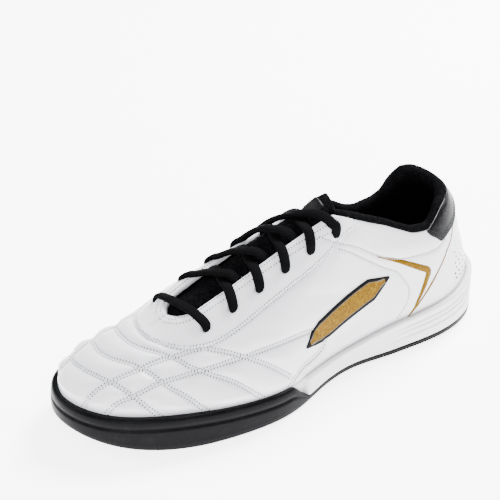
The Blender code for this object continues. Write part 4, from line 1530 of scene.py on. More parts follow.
        lift += 0.0004 * ease(edge / 0.003) * ease((0.010 - edge) / 0.004) * stay
        lift -= 0.00045 * np.exp(-(near_single / 0.0013) ** 2) * above
        behind = ease((0.108 - s) / 0.030)
        lift += 0.0009 * behind * ease(drop / 0.010) * ease((0.034 - drop) / 0.016)
        # painted shade: a mask that darkens the leather's colour in the seams' valleys, along the single seams and just
        # above the sole
        painted_shade = np.exp(-(np.maximum(far - 0.0008, 0) / 0.0014) ** 2) * 0.40
        painted_shade = np.maximum(painted_shade, 0.35 * np.exp(-(near_single / 0.0008) ** 2))
        painted_shade = np.maximum(painted_shade, 0.30 * (1 - ease(rise / 0.003)))
        for pair in range(1, self.eyelet_pairs + 1):
            for side in (1, -1):
                c, q = self.eyelet(pair, side)
                centre = self.last.world(self.last.on_face(c, q))
                away = np.linalg.norm(verts - centre, axis=1)
                pit = 1 - ease((away - self.hole_radius * 0.6) / (self.hole_radius * 0.7))
                lift -= 0.0022 * pit
                # painted shade also fills each lace-hole pit
                painted_shade = np.maximum(painted_shade, pit)
        return lift, painted_shade

    def close(
        self,
        raised: np.ndarray,
        normals: np.ndarray,
        faces: list[list[int]],
        back: np.ndarray,
        opens: list[bool],
        painted_shade: np.ndarray,
    ) -> None:
        """Add the inner face and the rims, and make the piece.

        Args:
            raised: Points of the outer face.
            normals: Their normals.
            faces: Faces of the outer face.
            back: Number of the outer point at each row and column.
            opens: Whether each column ends at an opening.
            painted_shade: Painted shade of each outer point, darkening the leather in seams, joins and pits.
        """
        rows, count = back.shape
        picks = np.unique(np.linspace(0, rows - 1, self.inner_rows).astype(int))
        used = np.unique(back[picks])
        number = {int(v): len(raised) + i for i, v in enumerate(used)}
        lining = raised[used] - normals[used] * (self.wall + 0.0004)
        verts = np.vstack((raised, lining))
        all_faces = list(faces)
        slots = [0] * len(faces)
        for low, high in zip(picks, picks[1:]):
            for j in range(count):
                k = (j + 1) % count
                corners = [number[int(v)] for v in (back[low, j], back[low, k], back[high, k], back[high, j])]
                corners = [v for n, v in enumerate(corners) if v != corners[n - 1]]
                if len(set(corners)) == len(corners) >= 3:
                    all_faces.append(corners)
                    slots.append(1)
        for row, turn in ((0, 1), (rows - 1, -1)):
            for j in range(count):
                k = (j + 1) % count
                if row and not (opens[j] or opens[k]):
                    continue
                one, two = int(back[row, j]), int(back[row, k])
                corners = [one, two, number[two], number[one]][::turn]
                if one != two:
                    all_faces.append(corners)
                    slots.append(0)
        made = add_piece("upper_shell", verts, all_faces, (self.finishes.leather, self.finishes.mesh),
                         np.array(slots))
        # keep the painted shade for the leather's colour; the lining gets none
        store(made, "painted_shade", np.concatenate((painted_shade, np.zeros(len(lining)))))
        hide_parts("upper", "lace_facing")


@dataclass
class Stitching:
    """Rows of thread, with dark discs of painted shade for the needle holes, laid on the upper."""

    upper: Upper
    skin: Skin
    finishes: Finishes
    thread: float = 0.00022
    pinhole: float = 0.00050
    sides: int = 5

    def build(self) -> None:
        """Lay every row."""
        rows = []
        for name, path in self.upper.paths.items():
            single = name.startswith(("ankle", "counter"))
            for across in ((0.0,) if single else (-0.5, 0.5)):
                rows.append(self.settle(path, across * self.upper.row_gap))
        for path in self.upper.rows[1:]:
            rows.append(self.settle(path, 0.0))
        self.lay("upper_stitches", rows, self.finishes.thread, self.finishes.pinhole)

    def settle(self, path: np.ndarray, across: float) -> tuple[np.ndarray, np.ndarray]:
        """Drop a path on the skin, moved sideways.

        Args:
            path: World points near the skin.
            across: Distance to move it sideways.

        Returns:
            Points on the skin, a stitch apart, and their normals.
        """
        path = even(path, self.upper.stitch)
        along = np.gradient(path, axis=0)
        points, normals = [], []
        for p, a in zip(path, along):
            _, normal = self.skin.near(p)
            beside = np.cross(normal, a)
            spot, normal = self.skin.near(p + beside / np.linalg.norm(beside) * across)
            points.append(spot)
            normals.append(normal)
        return np.array(points), np.array(normals)

    def lay(
        self,
        name: str,
        rows: list[tuple[np.ndarray, np.ndarray]],
        thread: bpy.types.Material,
        hole: bpy.types.Material,
    ) -> bpy.types.Object:
        """Make one piece of thread and of dark discs painted as the needle holes' shade.

        Args:
            name: Name of the piece.
            rows: Points and normals of each row.
            thread: Material of the thread.
            hole: Material of the discs painted as needle-hole shade.

        Returns:
            The piece.
        """
        verts, faces, slots = [], [], []
        turns = np.arange(self.sides) * 2 * math.pi / self.sides
        for points, normals in rows:
            for a, b, n in zip(points, points[1:], normals):
                along = b - a
                reach = np.linalg.norm(along)
                if reach < 1e-5:
                    continue
                along = along / reach
                across = np.cross(n, along)
                start = len(verts)
                for share, size in ((0.20, 0.35), (0.34, 1.0), (0.78, 1.0), (0.92, 0.35)):
                    centre = a + along * reach * share + n * self.thread * 0.45 * size
                    for turn in turns:
                        verts.append(centre + (across * math.cos(turn) + n * math.sin(turn)) * self.thread * size)
                for ring in range(3):
                    for k in range(self.sides):
                        m = (k + 1) % self.sides
                        at = start + ring * self.sides
                        faces.append((at + k, at + m, at + self.sides + m, at + self.sides + k))
                        slots.append(0)
                faces.append(tuple(start + k for k in reversed(range(self.sides))))
                faces.append(tuple(start + 3 * self.sides + k for k in range(self.sides)))
                slots += [0, 0]
                start = len(verts)
                # dark disc beside each stitch: painted shade of the needle hole
                middle = a + along * reach * 0.06 + n * 0.00006
                for turn in np.arange(6) * math.pi / 3:
                    verts.append(middle + (across * math.cos(turn) + along * math.sin(turn)) * self.pinhole)
                faces.append(tuple(start + k for k in reversed(range(6))))
                slots.append(1)
        made = add_piece(name, np.array(verts), faces, (thread, hole), np.array(slots))
        return made


# The sole


@dataclass
class Sole:
    """White foam midsole and black rubber outsole with its toe band."""

    last: Last
    finishes: Finishes
    plate: float = 0.0042
    tread_bevel: float = 0.0028
    tread_round: float = 0.0016
    band_height: float = 0.027
    band_start: float = 0.515
    band_full: float = 0.572
    band_lean: float = 0.0017
    band_groove: float = 0.0010
    midsole_heel: float = 0.031
    lip: float = 0.0012
    rib_depth: float = 0.0011
    rib_end: float = 0.31
    rib_fade: float = 0.10
    gap: float = 0.0003
    soft_gap: float = 0.00045
    seat_gap: float = 0.0006
    tread_pitch: float = 0.0115
    tread_zigzag: float = 0.0040
    tread_wave: float = 0.0170
    tread_groove: float = 0.0024
    tread_depth: float = 0.0012
    tread_border: float = 0.008

    def band_share(self, c: Column) -> float:
        """0 behind the toe band, 1 where it has its full height."""
        return float(ease((c.share - self.band_start) / (self.band_full - self.band_start)))

    def wall_top(self, c: Column) -> float:
        """Top of the outsole's edge."""
        low = self.last.tread(c.edge[0]) + self.plate
        return low + self.band_share(c) * (follow(BAND_TOP, c.share) * self.band_height - low)

    def visible_top(self, c: Column) -> float:
        """Height up to which rubber or foam covers the upper."""
        foam = follow(MIDSOLE_TOP, c.share) * self.midsole_heel
        return max(foam, self.wall_top(c)) if self.band_share(c) > 0 else foam

    def tread_cut(self, s: float, w: float, inset: float) -> float:
        """Depth of the tread's zigzag grooves at a plan point.

        Args:
            s: Distance forward.
            w: Distance to the lateral side.
            inset: Distance inside the edge.

        Returns:
            The depth.
        """
        at = s / LENGTH
        for start, end in ((0.075, 0.25), (0.59, 0.93)):
            if start - 0.01 < at < end + 0.01 and inset > self.tread_border:
                wave = 2 * abs((w / self.tread_wave) % 1.0 - 0.5)
                shifted = s - start * LENGTH + self.tread_zigzag * (wave - 0.5)
                near = abs((shifted / self.tread_pitch + 0.5) % 1.0 - 0.5) * self.tread_pitch
                fade = ease((inset - self.tread_border) / 0.001)
                return self.tread_depth * float(ease((self.tread_groove / 2 + 0.0003 - near) / 0.0006) * fade)
        return 0.0

    def loft(
        self, name: str, columns: list[list[tuple]], material: bpy.types.Material
    ) -> tuple[bpy.types.Object, np.ndarray]:
        """Make a piece of columns that run all round the shoe.

        Args:
            name: Name of the piece.
            columns: Shoe points of each column, equally many.
            material: Its material.

        Returns:
            The piece, and the old number of each point kept.
        """
        grid = self.last.world(np.array(columns)).transpose(1, 0, 2)
        faces = grid_faces(grid.shape[0], grid.shape[1], around=True)
        verts, merged, kept = weld(grid.reshape(-1, 3), faces)
        return add_piece(name, verts, merged, (material,)), kept

    def build_outsole(self) -> None:
        """Rubber plate, tread and toe band."""
        last = self.last
        ring = last.ring(22, 130, 50)
        columns = []
        shares = np.linspace(0, 1, 46)
        for c in ring:
            band = self.band_share(c)
            top = self.wall_top(c)
            foot = np.array(last.sole_point(c, self.tread_bevel, 0.0)[:2])
            reach = float(np.linalg.norm(c.spine - foot))
            line = []
            for share in shares:
                s, w = c.spine + (foot - c.spine) * share
                cut = self.tread_cut(s, w, (1 - share) * reach + self.tread_bevel)
                line.append((s, w, last.tread(s) + cut))
            low = last.tread(c.edge[0]) + self.tread_round
            line.append(last.sole_point(c, 0.0003, low - 0.0004))
            line.append(last.sole_point(c, 0.0, low + 0.0002))
            wall = top - 0.0075 * band - low
            for share in (0.3, 0.6, 0.9):
                line.append(last.sole_point(c, 0.0, low + wall * share))
            for down, inset in ((0.0074, 0.15), (0.0068, 0.9), (0.0063, 1.0), (0.0057, 0.9), (0.0050, 0.35)):
                line.append(last.sole_point(c, self.band_groove * inset * band, top - down * band))
            for down, inset in ((0.0034, 0.32), (0.0018, 0.45), (0.0007, 0.72), (0.0002, 1.0)):
                line.append(last.sole_point(c, self.band_lean * inset * band, top - down * band))
            if band > 0:
                line.append(last.sole_point(c, self.band_lean + 0.0004, top))
                for height in (top, min(last.floor_height(c.at), top)):
                    line.append(tuple(last.beside_upper(c, height, self.soft_gap)))
            else:
                edge = last.sole_point(c, 0.0006, top)
                line += [edge, edge, edge]
            s, w = (c.edge + c.spine) / 2
            line.append((s, w, last.tread(s) + self.plate))
            line.append((*c.spine, last.tread(c.spine[0]) + self.plate))
            columns.append(line)
        made, _ = self.loft("outsole_rubber", columns, self.finishes.rubber)
        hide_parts("outsole")

    def build_midsole(self) -> None:
        """Foam wedge with ribs round the heel."""
        last = self.last
        ring = last.ring(26, 150, 50)
        columns, painted_shades = [], []
        for c in ring:
            band = self.band_share(c)
            low = last.tread(c.edge[0]) + self.plate + self.gap
            top = follow(MIDSOLE_TOP, c.share) * self.midsole_heel
            tucked = band > 0 and c.share > self.band_full
            inset = (self.inset_behind_band() if band > 0 else 0.0) * float(ease(band * 6))
            if tucked:
                top = min(top, self.wall_top(c) - 0.001)
            fade = float(ease((self.rib_end - c.share) / self.rib_fade))
            shoulder = top - self.lip
            # painted shade for this column: darker in the rib grooves, at the outsole's join and up against the upper
            line, dark = [], []
            line.append((*c.spine, last.tread(c.spine[0]) + self.plate + self.gap))
            line.append(last.sole_point(c, 0.004, low))
            dark += [0.0, 0.2]
            line.append(last.sole_point(c, inset + 0.0007, low))
            dark.append(0.35)
            for share in np.linspace(0.03, 1.0, 34):
                rib = 0.0
                for centre in (0.38, 0.62, 0.80):
                    rib += math.exp(-((share - centre) / 0.035) ** 2)
                line.append(last.sole_point(c, inset + self.rib_depth * 0.75 * rib * fade,
                                            low + share * (shoulder - low)))
                dark.append(0.55 * rib * fade)
            for turn in (0.4, 0.75, 1.0):
                angle = turn * math.pi / 2
                line.append(last.sole_point(c, inset + self.lip * (1 - math.cos(angle)),
                                            shoulder + self.lip * math.sin(angle)))
                dark.append(0.0)
            line.append(tuple(last.beside_upper(c, top, self.soft_gap)))
            line.append(tuple(last.beside_upper(c, last.floor_height(c.at) - self.seat_gap, self.soft_gap)))
            line.append((*c.spine, last.floor_height(c.spine[0] / LENGTH) - self.seat_gap))
            dark += [0.25, 0.6, 0.0]
            columns.append(line)
            painted_shades.append(dark)
        made, kept = self.loft("midsole_foam", columns, self.finishes.foam)
        store(made, "painted_shade", np.array(painted_shades).T.reshape(-1)[kept])
        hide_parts("midsole")

    def inset_behind_band(self) -> float:
        """How far the foam steps back where the band covers it."""
        return self.last.inset + 2 * self.gap

    def build_insole(self) -> None:
        """Sockliner with a gentle cup."""
        last = self.last
        inset = last.inset + 0.0022 + 2 * self.soft_gap
        columns = []
        for c in last.ring(18, 80, 26):
            low = last.floor_height(c.at)
            spine = last.floor_height(c.spine[0] / LENGTH)
            line = [(*c.spine, spine), last.sole_point(c, inset, low), last.sole_point(c, inset, low + 0.0022)]
            edge = np.array(last.sole_point(c, inset + 0.0004, low + 0.0030))
            middle = np.array((*c.spine, spine + 0.003))
            for share in np.linspace(0, 1, 12):
                line.append(tuple(edge + (middle - edge) * share))
            columns.append(line)
        made, _ = self.loft("sockliner", columns, self.finishes.mesh)
        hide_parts("insole")


# Collar, tab and tongue


@dataclass
class CollarCuff:
    """Padded mesh rim on the collar that lines it inside."""

    last: Last
    finishes: Finishes
    rise: float = 0.0044
    pad: float = 0.0066
    depth: float = 0.026
    gap: float = 0.0004
    end: float = 0.392
    wall: float = 0.0022

    def section(self, c: Column) -> np.ndarray:
        """Closed section of the rim at a column, as shoe points.

        Args:
            c: The column.

        Returns:
            The section's points.
        """
        last = self.last
        top = last.q_top(c)
        full = float(ease((c.at - 0.10) / 0.08))
        rise = self.rise * (0.6 + 0.4 * full)
        place = last.profile(c, top)[0]
        near = last.profile(c, top - 0.004)[0]
        up = (place - near) / np.linalg.norm(place - near)
        out = np.array((-up[1], up[0]))
        inner = self.wall + self.gap
        spots = []
        for inward, above in ((-0.0004, self.gap), (-0.0007, rise * 0.45), (0.0004, rise * 0.88),
                              (0.0024, rise * 1.08), (0.0048, rise * 0.85), (self.pad, rise * 0.1)):
            spots.append(place - out * inward + up * above)
        for deep, inward in ((0.25, self.pad + 0.0004), (0.6, self.pad - 0.0012), (0.95, inner + 0.0012),
                             (1.0, inner), (0.5, inner)):
            q = last.q_below(c, top, self.depth * deep)
            spots.append(last.profile(c, q)[0] - last.face_out(c, q) * inward)
        spots.append(place - out * inner + up * self.gap)
        dense = closed_spline(np.array(spots), 4)
        return last.lift(c, dense[:, 0], dense[:, 1])

    def build(self) -> None:
        """Loft the rim round the ankle."""
        front = [self.last.column(at, 1) for at in np.linspace(self.end, 0.0, 130)]
        back = [self.last.column(at, -1) for at in np.linspace(0.0, self.end, 130)[1:]]
        sections = np.array([self.section(c) for c in front + back])
        verts = self.last.world(sections)
        rows, around = verts.shape[:2]
        made = add_piece("collar_roll", verts.reshape(-1, 3), tube_faces(rows, around), (self.finishes.mesh,))
        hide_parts("collar_cuff")


@dataclass
class HeelTab:
    """Black gloss patch over the top of the heel, with two rows of thread along its lower edge."""

    last: Last
    finishes: Finishes
    thickness: float = 0.0010
    stand: float = 0.0004

    def build(self, stitching: Stitching) -> None:
        """Build the patch and its stitching.

        Args:
            stitching: Lays the thread.
        """
        last, skin = self.last, stitching.skin
        ends = TAB_DROP[-1].at
        columns = [last.column(at, -1) for at in np.linspace(ends, 0, 60)]
        columns += [last.column(at, 1) for at in np.linspace(0, ends, 60)[1:]]
        steps = ((0.0, 0.0), (0.0, 0.6), (0.02, 0.9), (0.06, 1.0), (0.2, 1.0), (0.4, 1.0), (0.6, 1.0), (0.8, 1.0),
                 (0.96, 1.0), (1.0, 0.7), (1.0, 0.0))
        outer = []
        for c in columns:
            top = last.q_top(c)
            drop = follow(TAB_DROP, c.at)
            line = []
            for share, height in steps:
                q = last.q_below(c, top, drop * (1 - share))
                line.append(skin.near(last.world(last.on_face(c, q)), self.stand + self.thickness * height)[0])
            line.append(skin.near(last.world(last.on_face(c, last.q_below(c, top, drop * 0.5))), 0.0001)[0])
            outer.append(line)
        grid = np.array(outer)
        rows, across = grid.shape[:2]
        made = add_piece("heel_patch", grid.reshape(-1, 3), tube_faces(rows, across), (self.finishes.gloss,))
        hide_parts("heel_tab")
        rows_of_thread = []
        for up in (0.0016, 0.0036):
            path = []
            for c in columns[4:-4]:
                q = last.q_below(c, last.q_top(c), max(0.001, follow(TAB_DROP, c.at) - up))
                path.append(last.on_face(c, q))
            spots = [skin.near(p, self.stand + self.thickness) for p in even(last.world(path), 0.0018)]
            rows_of_thread.append(tuple(np.array(part) for part in zip(*spots)))
        # the discs at these stitches are painted shade of the needle holes, in the black outline colour
        stitching.lay("heel_patch_stitches", rows_of_thread, self.finishes.dark_thread, self.finishes.outline)


@dataclass
class Tongue:
    """Padded mesh tongue under the throat, with a smooth patch at its top."""

    last: Last
    finishes: Finishes
    top: float = 0.374
    front: float = 0.785
    cover: float = 0.0070
    pad: float = 0.0044
    roll: float = 0.0045
    under: float = 0.0032
    crown: float = 0.0026
    droop: float = 0.0030
    tip_half: float = 0.0125
    patch_along: tuple[float, float] = (0.398, 0.434)
    patch_middle: float = 0.19
    patch_half: float = 0.29
    patch_rim: float = 0.04
    patch_rise: float = 0.0007
    patch_cells: int = 21

    def surface(self, at: float, share: float, out: float) -> np.ndarray:
        """Shoe point of the tongue's face, share from -1 (medial edge) to 1.

        Args:
            at: Share of the length.
            share: Share of the way across.
            out: Distance outwards.

        Returns:
            The point.
        """
        half = max(self.last.throat_half_width(at), self.tip_half) + self.cover
        c = self.last.column(at, 1 if share >= 0 else -1)
        q = self.last.q_at_distance(c, abs(share) * half) if abs(share) > 1e-6 else 1.0
        crown = self.crown * max(0.0, 1 - (share * half / self.last.throat_side(at)) ** 2)
        sink = self.droop * float(ease((0.450 - at) / 0.06)) + self.last.sag(at, share * half)
        return self.last.on_face(c, q, -self.under - sink + crown + out)

    def swell(self, at: float) -> float:
        """Extra thickness of the rolled top edge."""
        return self.roll * float(ease((0.432 - at) / 0.030))

    def build(self) -> None:
        """Build the pad and the patch."""
        ats = np.linspace(self.top, self.front, 110)
        shares = np.linspace(-1, 1, 41)
        grid = []
        for i, at in enumerate(ats):
            end = min(1.0, (i + 0.2) / 12, (len(ats) - 0.8 - i) / 4)
            end = math.sqrt(max(0.02, 1 - (1 - end) ** 2))
            upper, lower = [], []
            for share in shares:
                side = math.sqrt(max(0.02, 1 - max(0.0, (abs(share) - 0.82) / 0.18) ** 2))
                thick = (self.pad + self.swell(at)) * end * side
                quilt = 0.0005 * math.cos(share * math.pi * 3) * (1 - abs(share)) * float(ease((at - 0.40) / 0.03))
                middle = (0.30 * self.swell(at) - self.pad) / 2
                upper.append(self.surface(at, share, middle + thick / 2 + quilt))
                lower.append(self.surface(at, share, middle - thick / 2))
            grid.append(upper + lower[::-1])
        verts = self.last.world(np.array(grid))
        rows, around = verts.shape[:2]
        faces = tube_faces(rows, around, turned=True)
        made = add_piece("tongue_pad", verts.reshape(-1, 3), faces, (self.finishes.mesh,))
        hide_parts("tongue")
        self.build_patch()

    def build_patch(self) -> None:
        """Smooth patch on the tongue's top; its stitching is not drawn."""
        grid = []
        cells, half = self.patch_cells, self.patch_half
        for i, at in enumerate(np.linspace(*self.patch_along, cells + 1)):
            line = []
            for share in np.linspace(self.patch_middle - half, self.patch_middle + half, cells + 1):
                rim = min(half - abs(share - self.patch_middle), self.patch_rim) / self.patch_rim
                rise = self.patch_rise * math.sqrt(max(0.0, rim * min(1.0, i / 2, (cells - i) / 2)))
                line.append(self.surface(at, share, 0.65 * self.swell(at) + rise))
            grid.append(line)
        verts = self.last.world(np.array(grid)).reshape(-1, 3)
        made = add_piece("tongue_patch", verts, grid_faces(cells + 1, cells + 1), (self.finishes.gloss,))


# Lace


@dataclass
class Laces:
    """Flat woven lace: a bar at the bottom and crossings up to the top holes."""

    upper: Upper
    finishes: Finishes
    width: float = 0.0064
    thick: float = 0.0028
    over_flap: float = 0.0034
    low: float = 0.0002
    final_low: float = 0.0024
    medial_fuller: float = 1.3
    step: float = 0.0007
    corners: int = 16

    def strip(
        self,
        name: str,
        stops: Sequence[tuple[float, float, float, float]],
        node: str,
        fuller: float = 1.0,
    ) -> None:
        """Sweep an oval strip through stops.

        Args:
            name: Name of the piece.
            stops: Places as (s, across, out, width share).
            node: CAD node that it stands for.
            fuller: Share by which it is thicker than the lace's own size.
        """
        last = self.upper.last
        dense = smooth_path([(s, a, o, w * 0.01) for s, a, o, w in stops], self.step)
        points = last.world([last.above_throat(s, a, o) for s, a, o, _ in dense])
        above = last.world([last.above_throat(s, a, o + 0.001) for s, a, o, _ in dense])
        outs = above - points
        ahead = np.gradient(points, axis=0)
        verts, along_list, across_list = [], [], []
        far = 0.0
        count = self.corners
        for i, (p, o, a) in enumerate(zip(points, outs, ahead)):
            a = a / np.linalg.norm(a)
            beside = np.cross(a, o)
            beside /= np.linalg.norm(beside)
            up = np.cross(beside, a)
            far += float(np.linalg.norm(points[i] - points[i - 1])) if i else 0.0
            share = dense[i, 3] * 100
            for k in range(count):
                turn = 2 * math.pi * k / count
                x, y = math.cos(turn), math.sin(turn)
                x = math.copysign(abs(x) ** 0.75, x) * self.width / 2 * share
                y = math.copysign(abs(y) ** 0.8, y) * self.thick * fuller / 2 * (1 + 0.35 * (1 - share))
                verts.append(p + beside * x + up * y)
                along_list.append(far)
                across_list.append(x)
        made = add_piece(name, np.array(verts), tube_faces(len(points), count), (self.finishes.braid,))
        store(made, "along", np.array(along_list))
        store(made, "across", np.array(across_list))
        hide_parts(node)

    def hole(self, pair: int, side: int) -> tuple[float, float]:
        """Distance along and across of a lace hole."""
        c, q = self.upper.eyelet(pair, side)
        point = self.upper.last.on_face(c, q)
        return c.at * LENGTH, abs(point[1] - c.spine[1])

    def build(self) -> None:
        """Build the bar and the crossings."""
        last = self.upper.last
        s, a = self.hole(1, 1)
        t, b = self.hole(1, -1)
        edge = last.throat_half_width(s / LENGTH)
        flap = self.over_flap

        def place(across: float, out: float, width: float) -> tuple[float, float, float, float]:
            """A stop on the straight line between the two holes."""
            return s + (t - s) * (a - across) / (a + b), across, out, width

        self.strip("lace_bar", (
            place(a + 0.0014, -0.004, 0.66), place(a + 0.0011, 0.0002, 0.76), place(a - 0.0012, flap, 0.95),
            place((a + edge) / 2, flap + 0.0002, 1.0), place(edge * 0.5, 0.0022, 1.0), place(0.0001, 0.0018, 1.0),
            place(-edge * 0.5, 0.0022, 1.0), place(-(b + edge) / 2, flap + 0.0004, 1.0),
            place(-b + 0.0014, flap, 0.95), place(-b - 0.0009, 0.0004, 0.76), place(-b - 0.0012, -0.004, 0.66),
        ), "lace_bar_1")
        for pair in range(2, self.upper.eyelet_pairs):
            for side in (1, -1):
                self.crossing(pair, side)

    def crossing(self, pair: int, side: int) -> None:
        """One strip from a hole across the throat to the other side's next hole.

        Args:
            pair: Number of the pair it starts from.
            side: 1 for the lateral side, -1 for the medial.
        """
        last = self.upper.last
        s0, a0 = self.hole(pair, side)
        s1, a1 = self.hole(pair + 1, -side)
        final = pair + 1 == self.upper.eyelet_pairs
        medial = side < 0
        middle = self.low + (self.thick * 0.95 if medial else 0.0) - (self.final_low if final else 0.0)
        flap = self.over_flap
        edge = last.throat_half_width(s0 / LENGTH)
        edge_far = last.throat_half_width(s1 / LENGTH)

        def place(t: float, out: float, width: float) -> tuple[float, float, float, float]:
            """A stop at a share of the way across."""
            return s0 + (s1 - s0) * t, side * (a0 + (-a1 - a0) * t), out, width

        reach = a0 + a1
        start = (a0 - edge) / reach
        end = (a0 + edge_far) / reach
        stops = [
            (s0, side * (a0 + 0.0014), -0.004, 0.66), (s0, side * (a0 + 0.0012), 0.0002, 0.76),
            (s0, side * (a0 - 0.0012), flap, 0.95), place(start * 0.60, flap + 0.0003, 1.0),
            place(start * 1.05, flap - 0.0004, 1.0), place((start + 0.5) / 2 + 0.02, middle + 0.0002, 1.0),
            place(0.5, middle, 1.0), place((end + 0.5) / 2 - 0.02, middle + 0.0001, 1.0),
        ]
        if final:
            stops += [place(end, flap - 0.0008, 1.0), place((1 + end) / 2, flap - 0.0001, 1.0),
                      (s1, -side * (a1 - 0.0012), flap, 0.95), (s1, -side * (a1 + 0.0012), 0.0002, 0.76),
                      (s1, -side * (a1 + 0.0014), -0.004, 0.66)]
        else:
            stops += [place(end - 0.03, self.low - 0.0010, 1.0), place(end + 0.06, -0.0032, 0.95),
                      place(end + 0.14, -0.0036, 0.9)]
        self.strip(f"lace_{pair}_{'medial' if medial else 'lateral'}", stops, f"lace_cross_{pair}",
                   self.medial_fuller if medial else 1.0)


# Trims on the quarters


@dataclass
class Trims:
    """Gold flash, gold lines and the small dots by the heel."""

    last: Last
    skin: Skin
    finishes: Finishes
    flash_front: tuple[float, float] = (0.520, 0.405)
    flash_rear: tuple[float, float] = (0.285, 0.615)
    edge: float = 0.0021
    inline: float = 0.0024
    half_width: float = 0.0078
    tip: float = 0.22
    blunt: float = 0.015
    thickness: float = 0.0006
    steps: int = 90
    sunk: float = 0.0001
    print_rise: float = 0.00018
    dot: float = 0.00085
    dot_rise: float = 0.00025

    def flash(self, name: str, side: Side) -> None:
        """Raised gold bar with a black edge and a thin pale inline.

        Args:
            name: CAD node that it stands for.
            side: Which quarter it lies on.
        """
        front = np.array((self.flash_front[0] * LENGTH, self.flash_front[1] * ANKLE_HEIGHT))
        rear = np.array((self.flash_rear[0] * LENGTH, self.flash_rear[1] * ANKLE_HEIGHT))
        along = rear - front
        reach = float(np.linalg.norm(along))
        across = np.array((-along[1], along[0])) / reach
        steps = self.steps
        zones = (1, 1, 2, 0, 0, 0, 0, 2, 1, 1)
        rows, slots = [], []
        for i in range(steps + 1):
            t = i / steps
            half = self.half_width * min(1.0, (min(t, 1 - t) + self.blunt) / self.tip)
            one = half - min(self.edge, 0.4 * half)
            two = half - min(self.inline, 0.6 * half)
            row = []
            for place in (-half, -half + 0.0001, -one, -two, -two / 2, 0.0, two / 2, two, one, half - 0.0001, half):
                s, h = front + along * t + across * place
                row.append(self.skin.beside(s, h, side, -2 * self.sunk if abs(place) == half else self.thickness)[0])
            rows.append(row)
            from_end = min(i, steps - 1 - i) * reach / steps
            for zone in zones if i < steps else ():
                if from_end < self.edge * 1.6:
                    zone = 1
                elif from_end < self.inline * 1.6 and zone == 0:
                    zone = 2
                slots.append(zone)
        faces = grid_faces(steps + 1, len(zones) + 1)
        if side is Side.LATERAL:
            faces = faces[:, ::-1]
        made = add_piece(f"{name}_bar", np.array(rows).reshape(-1, 3), faces,
                         (self.finishes.foil, self.finishes.outline, self.finishes.inline), np.array(slots))
        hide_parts(name)

    def line(self, name: str, side: Side, points: Sequence[tuple[float, float, float]]) -> None:
        """Thin gold line whose width follows its points.

        Args:
            name: Name of the piece.
            side: Which quarter it lies on.
            points: (s, h, width) in millimetres.
        """
        path = smooth_path(points, 1.0) * MM
        ahead = np.gradient(path[:, :2], axis=0)
        ahead /= np.linalg.norm(ahead, axis=1)[:, None]
        beside = np.c_[-ahead[:, 1], ahead[:, 0]]
        rows = []
        for place, b in zip(path, beside):
            row = []
            for m in (-0.5, -0.45, 0.0, 0.45, 0.5):
                s, h = place[:2] + b * m * place[2]
                row.append(self.skin.beside(s, h, side, -self.sunk if abs(m) == 0.5 else self.print_rise)[0])
            rows.append(row)
        faces = grid_faces(len(rows), 5)
        if side is Side.LATERAL:
            faces = faces[:, ::-1]
        made = add_piece(name, np.array(rows).reshape(-1, 3), faces, (self.finishes.foil,))

    def dots(self, name: str, side: Side) -> None:
        """Rows of small dark dots beside the heel.

        Args:
            name: Name of the piece.
            side: Which quarter they lie on.
        """
        verts, faces = [], []
        for i in range(9):
            for j in range(5):
                s = 27.0 - 4.2 * j + 1.4 * (i % 2)
                h = 34.0 + 3.6 * i
                if s < 6.0 + 0.10 * h or h > 62 - 1.2 * j:
                    continue
                spot, normal = self.skin.beside(s * MM, h * MM, side)
                turn = Vector(normal).to_track_quat("Z", "Y")
                size = self.dot * (1 - 0.06 * i)
                start = len(verts)
                for k in range(8):
                    angle = k * math.pi / 4
                    disc = turn @ Vector((math.cos(angle) * size, math.sin(angle) * size, 0))
                    verts.append(spot + normal * self.dot_rise + np.array(disc))
                faces.append(tuple(range(start, start + 8)))
        made = add_piece(name, np.array(verts), faces, (self.finishes.outline,))

    def build(self) -> None:
        """Lay the trims on both quarters."""
        for side, tail in ((Side.LATERAL, "lateral"), (Side.MEDIAL, "medial")):
            self.flash(f"side_flash_{tail}", side)
            self.line(f"corner_line_{tail}", side, (
                (90, 70.5, 0.4), (80, 66.0, 2.0), (70, 60.8, 3.2), (60, 55.0, 4.2), (53.5, 50.5, 4.4),
                (55.0, 44.5, 3.8), (59.0, 36.5, 2.8), (65.0, 27.0, 1.4), (70.5, 21.0, 0.4)))
            self.line(f"sweep_line_{tail}", side, (
                (28.5, 69.5, 0.7), (33, 61.5, 1.0), (42, 50.5, 1.2), (51, 40.5, 1.4), (60, 31.0, 1.2),
                (69.5, 21.5, 0.5)))
            self.dots(f"heel_dots_{tail}", side)


# Studio


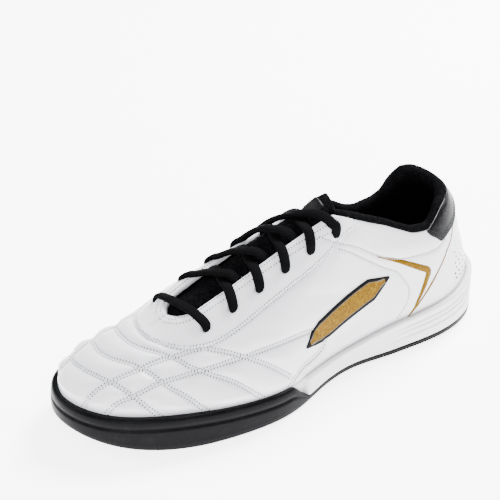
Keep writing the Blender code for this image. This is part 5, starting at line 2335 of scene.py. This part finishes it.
@dataclass
class Studio:
    """Camera at the photograph's angle, pale floor and soft light."""

    last: Last
    azimuth: float = 57.609
    elevation: float = 32.726
    roll: float = -0.103
    distance: float = 0.89311
    lens: float = 107.2
    slide: tuple[float, float] = (-0.014947, 0.033167)
    aim: tuple[float, float, float] = (0.144, 0.0, 0.040)

    def build_camera(self) -> None:
        """Place the camera in shoe coordinates, then in the world."""
        a, e, r = (math.radians(v) for v in (self.azimuth, self.elevation, self.roll))
        back = np.array((math.cos(a) * math.cos(e), math.sin(a) * math.cos(e), math.sin(e)))
        right = np.cross((0, 0, 1.0), back)
        right /= np.linalg.norm(right)
        up = np.cross(back, right)
        right, up = math.cos(r) * right + math.sin(r) * up, -math.sin(r) * right + math.cos(r) * up
        place = np.array(self.aim) + back * self.distance + right * self.slide[0] + up * self.slide[1]
        data = bpy.data.cameras.new("camera")
        data.lens = self.lens
        data.sensor_width = 36.0
        made = bpy.data.objects.new("camera", data)
        axes = [Vector((v[1], -v[0], v[2])) for v in (right, up, back)]
        turn = Matrix(axes).transposed().to_4x4()
        made.matrix_world = Matrix.Translation(Vector(self.last.world(place))) @ turn
        bpy.context.scene.collection.objects.link(made)
        bpy.context.scene.camera = made

    def build_floor(self) -> None:
        """Pale seamless floor."""
        size = 3.0
        mesh = bpy.data.meshes.new("studio_floor")
        mesh.from_pydata([(-size, -size, 0), (size, -size, 0), (size, size, 0), (-size, size, 0)], [], [(0, 1, 2, 3)])
        paint = Paint("floor_paper", Roughness=0.75, Specular_IOR_Level=0.15)
        paint.shader.inputs["Base Color"].default_value = (0.95, 0.95, 0.955, 1.0)
        paint.shader.inputs["Emission Color"].default_value = (1.0, 1.0, 1.0, 1.0)
        paint.shader.inputs["Emission Strength"].default_value = 4.5
        mesh.materials.append(paint.material)
        made = bpy.data.objects.new("studio_floor", mesh)
        bpy.context.scene.collection.objects.link(made)

    def area(self, name: str, place: tuple[float, float, float], power: float, size: float) -> None:
        """Soft light that faces the shoe.

        Args:
            name: Name of the light.
            place: Where it stands.
            power: Its power in watts.
            size: Its diameter.
        """
        data = bpy.data.lights.new(name, "AREA")
        data.shape = "DISK"
        data.size = size
        data.energy = power
        made = bpy.data.objects.new(name, data)
        made.location = place
        made.rotation_mode = "QUATERNION"
        made.rotation_quaternion = (Vector((0, 0, 0.04)) - Vector(place)).to_track_quat("-Z", "Y")
        bpy.context.scene.collection.objects.link(made)

    def build(self) -> None:
        """Build camera, floor, world and lights."""
        self.build_camera()
        self.build_floor()
        world = bpy.data.worlds.new("studio_world")
        world.use_nodes = True
        world.node_tree.nodes["Background"].inputs["Color"].default_value = (1.0, 1.0, 1.0, 1.0)
        world.node_tree.nodes["Background"].inputs["Strength"].default_value = 0.9
        bpy.context.scene.world = world
        self.area("key_light", (-0.30, 0.75, 0.95), 62.0, 0.5)
        self.area("fill_light", (0.95, -0.65, 0.75), 14.0, 1.0)
        self.area("toe_light", (-0.65, -0.85, 0.80), 14.0, 0.8)


def main() -> None:
    """Build the shoe's pieces in order and report each."""
    logging.basicConfig(level=logging.INFO, format="%(name)s: %(message)s")
    last = Last()
    finishes = Finishes.make()
    upper = Upper(last, finishes)
    skin = upper.build()
    LOG.info("upper built")
    stitching = Stitching(upper, skin, finishes)
    stitching.build()
    LOG.info("stitches laid")
    sole = Sole(last, finishes)
    sole.build_outsole()
    sole.build_midsole()
    sole.build_insole()
    LOG.info("sole built")
    CollarCuff(last, finishes).build()
    HeelTab(last, finishes).build(stitching)
    Tongue(last, finishes).build()
    LOG.info("collar, heel tab and tongue built")
    Laces(upper, finishes).build()
    LOG.info("laces run")
    Trims(last, skin, finishes).build()
    LOG.info("trims laid")
    Studio(last).build()


if __name__ == "__main__":
    main()
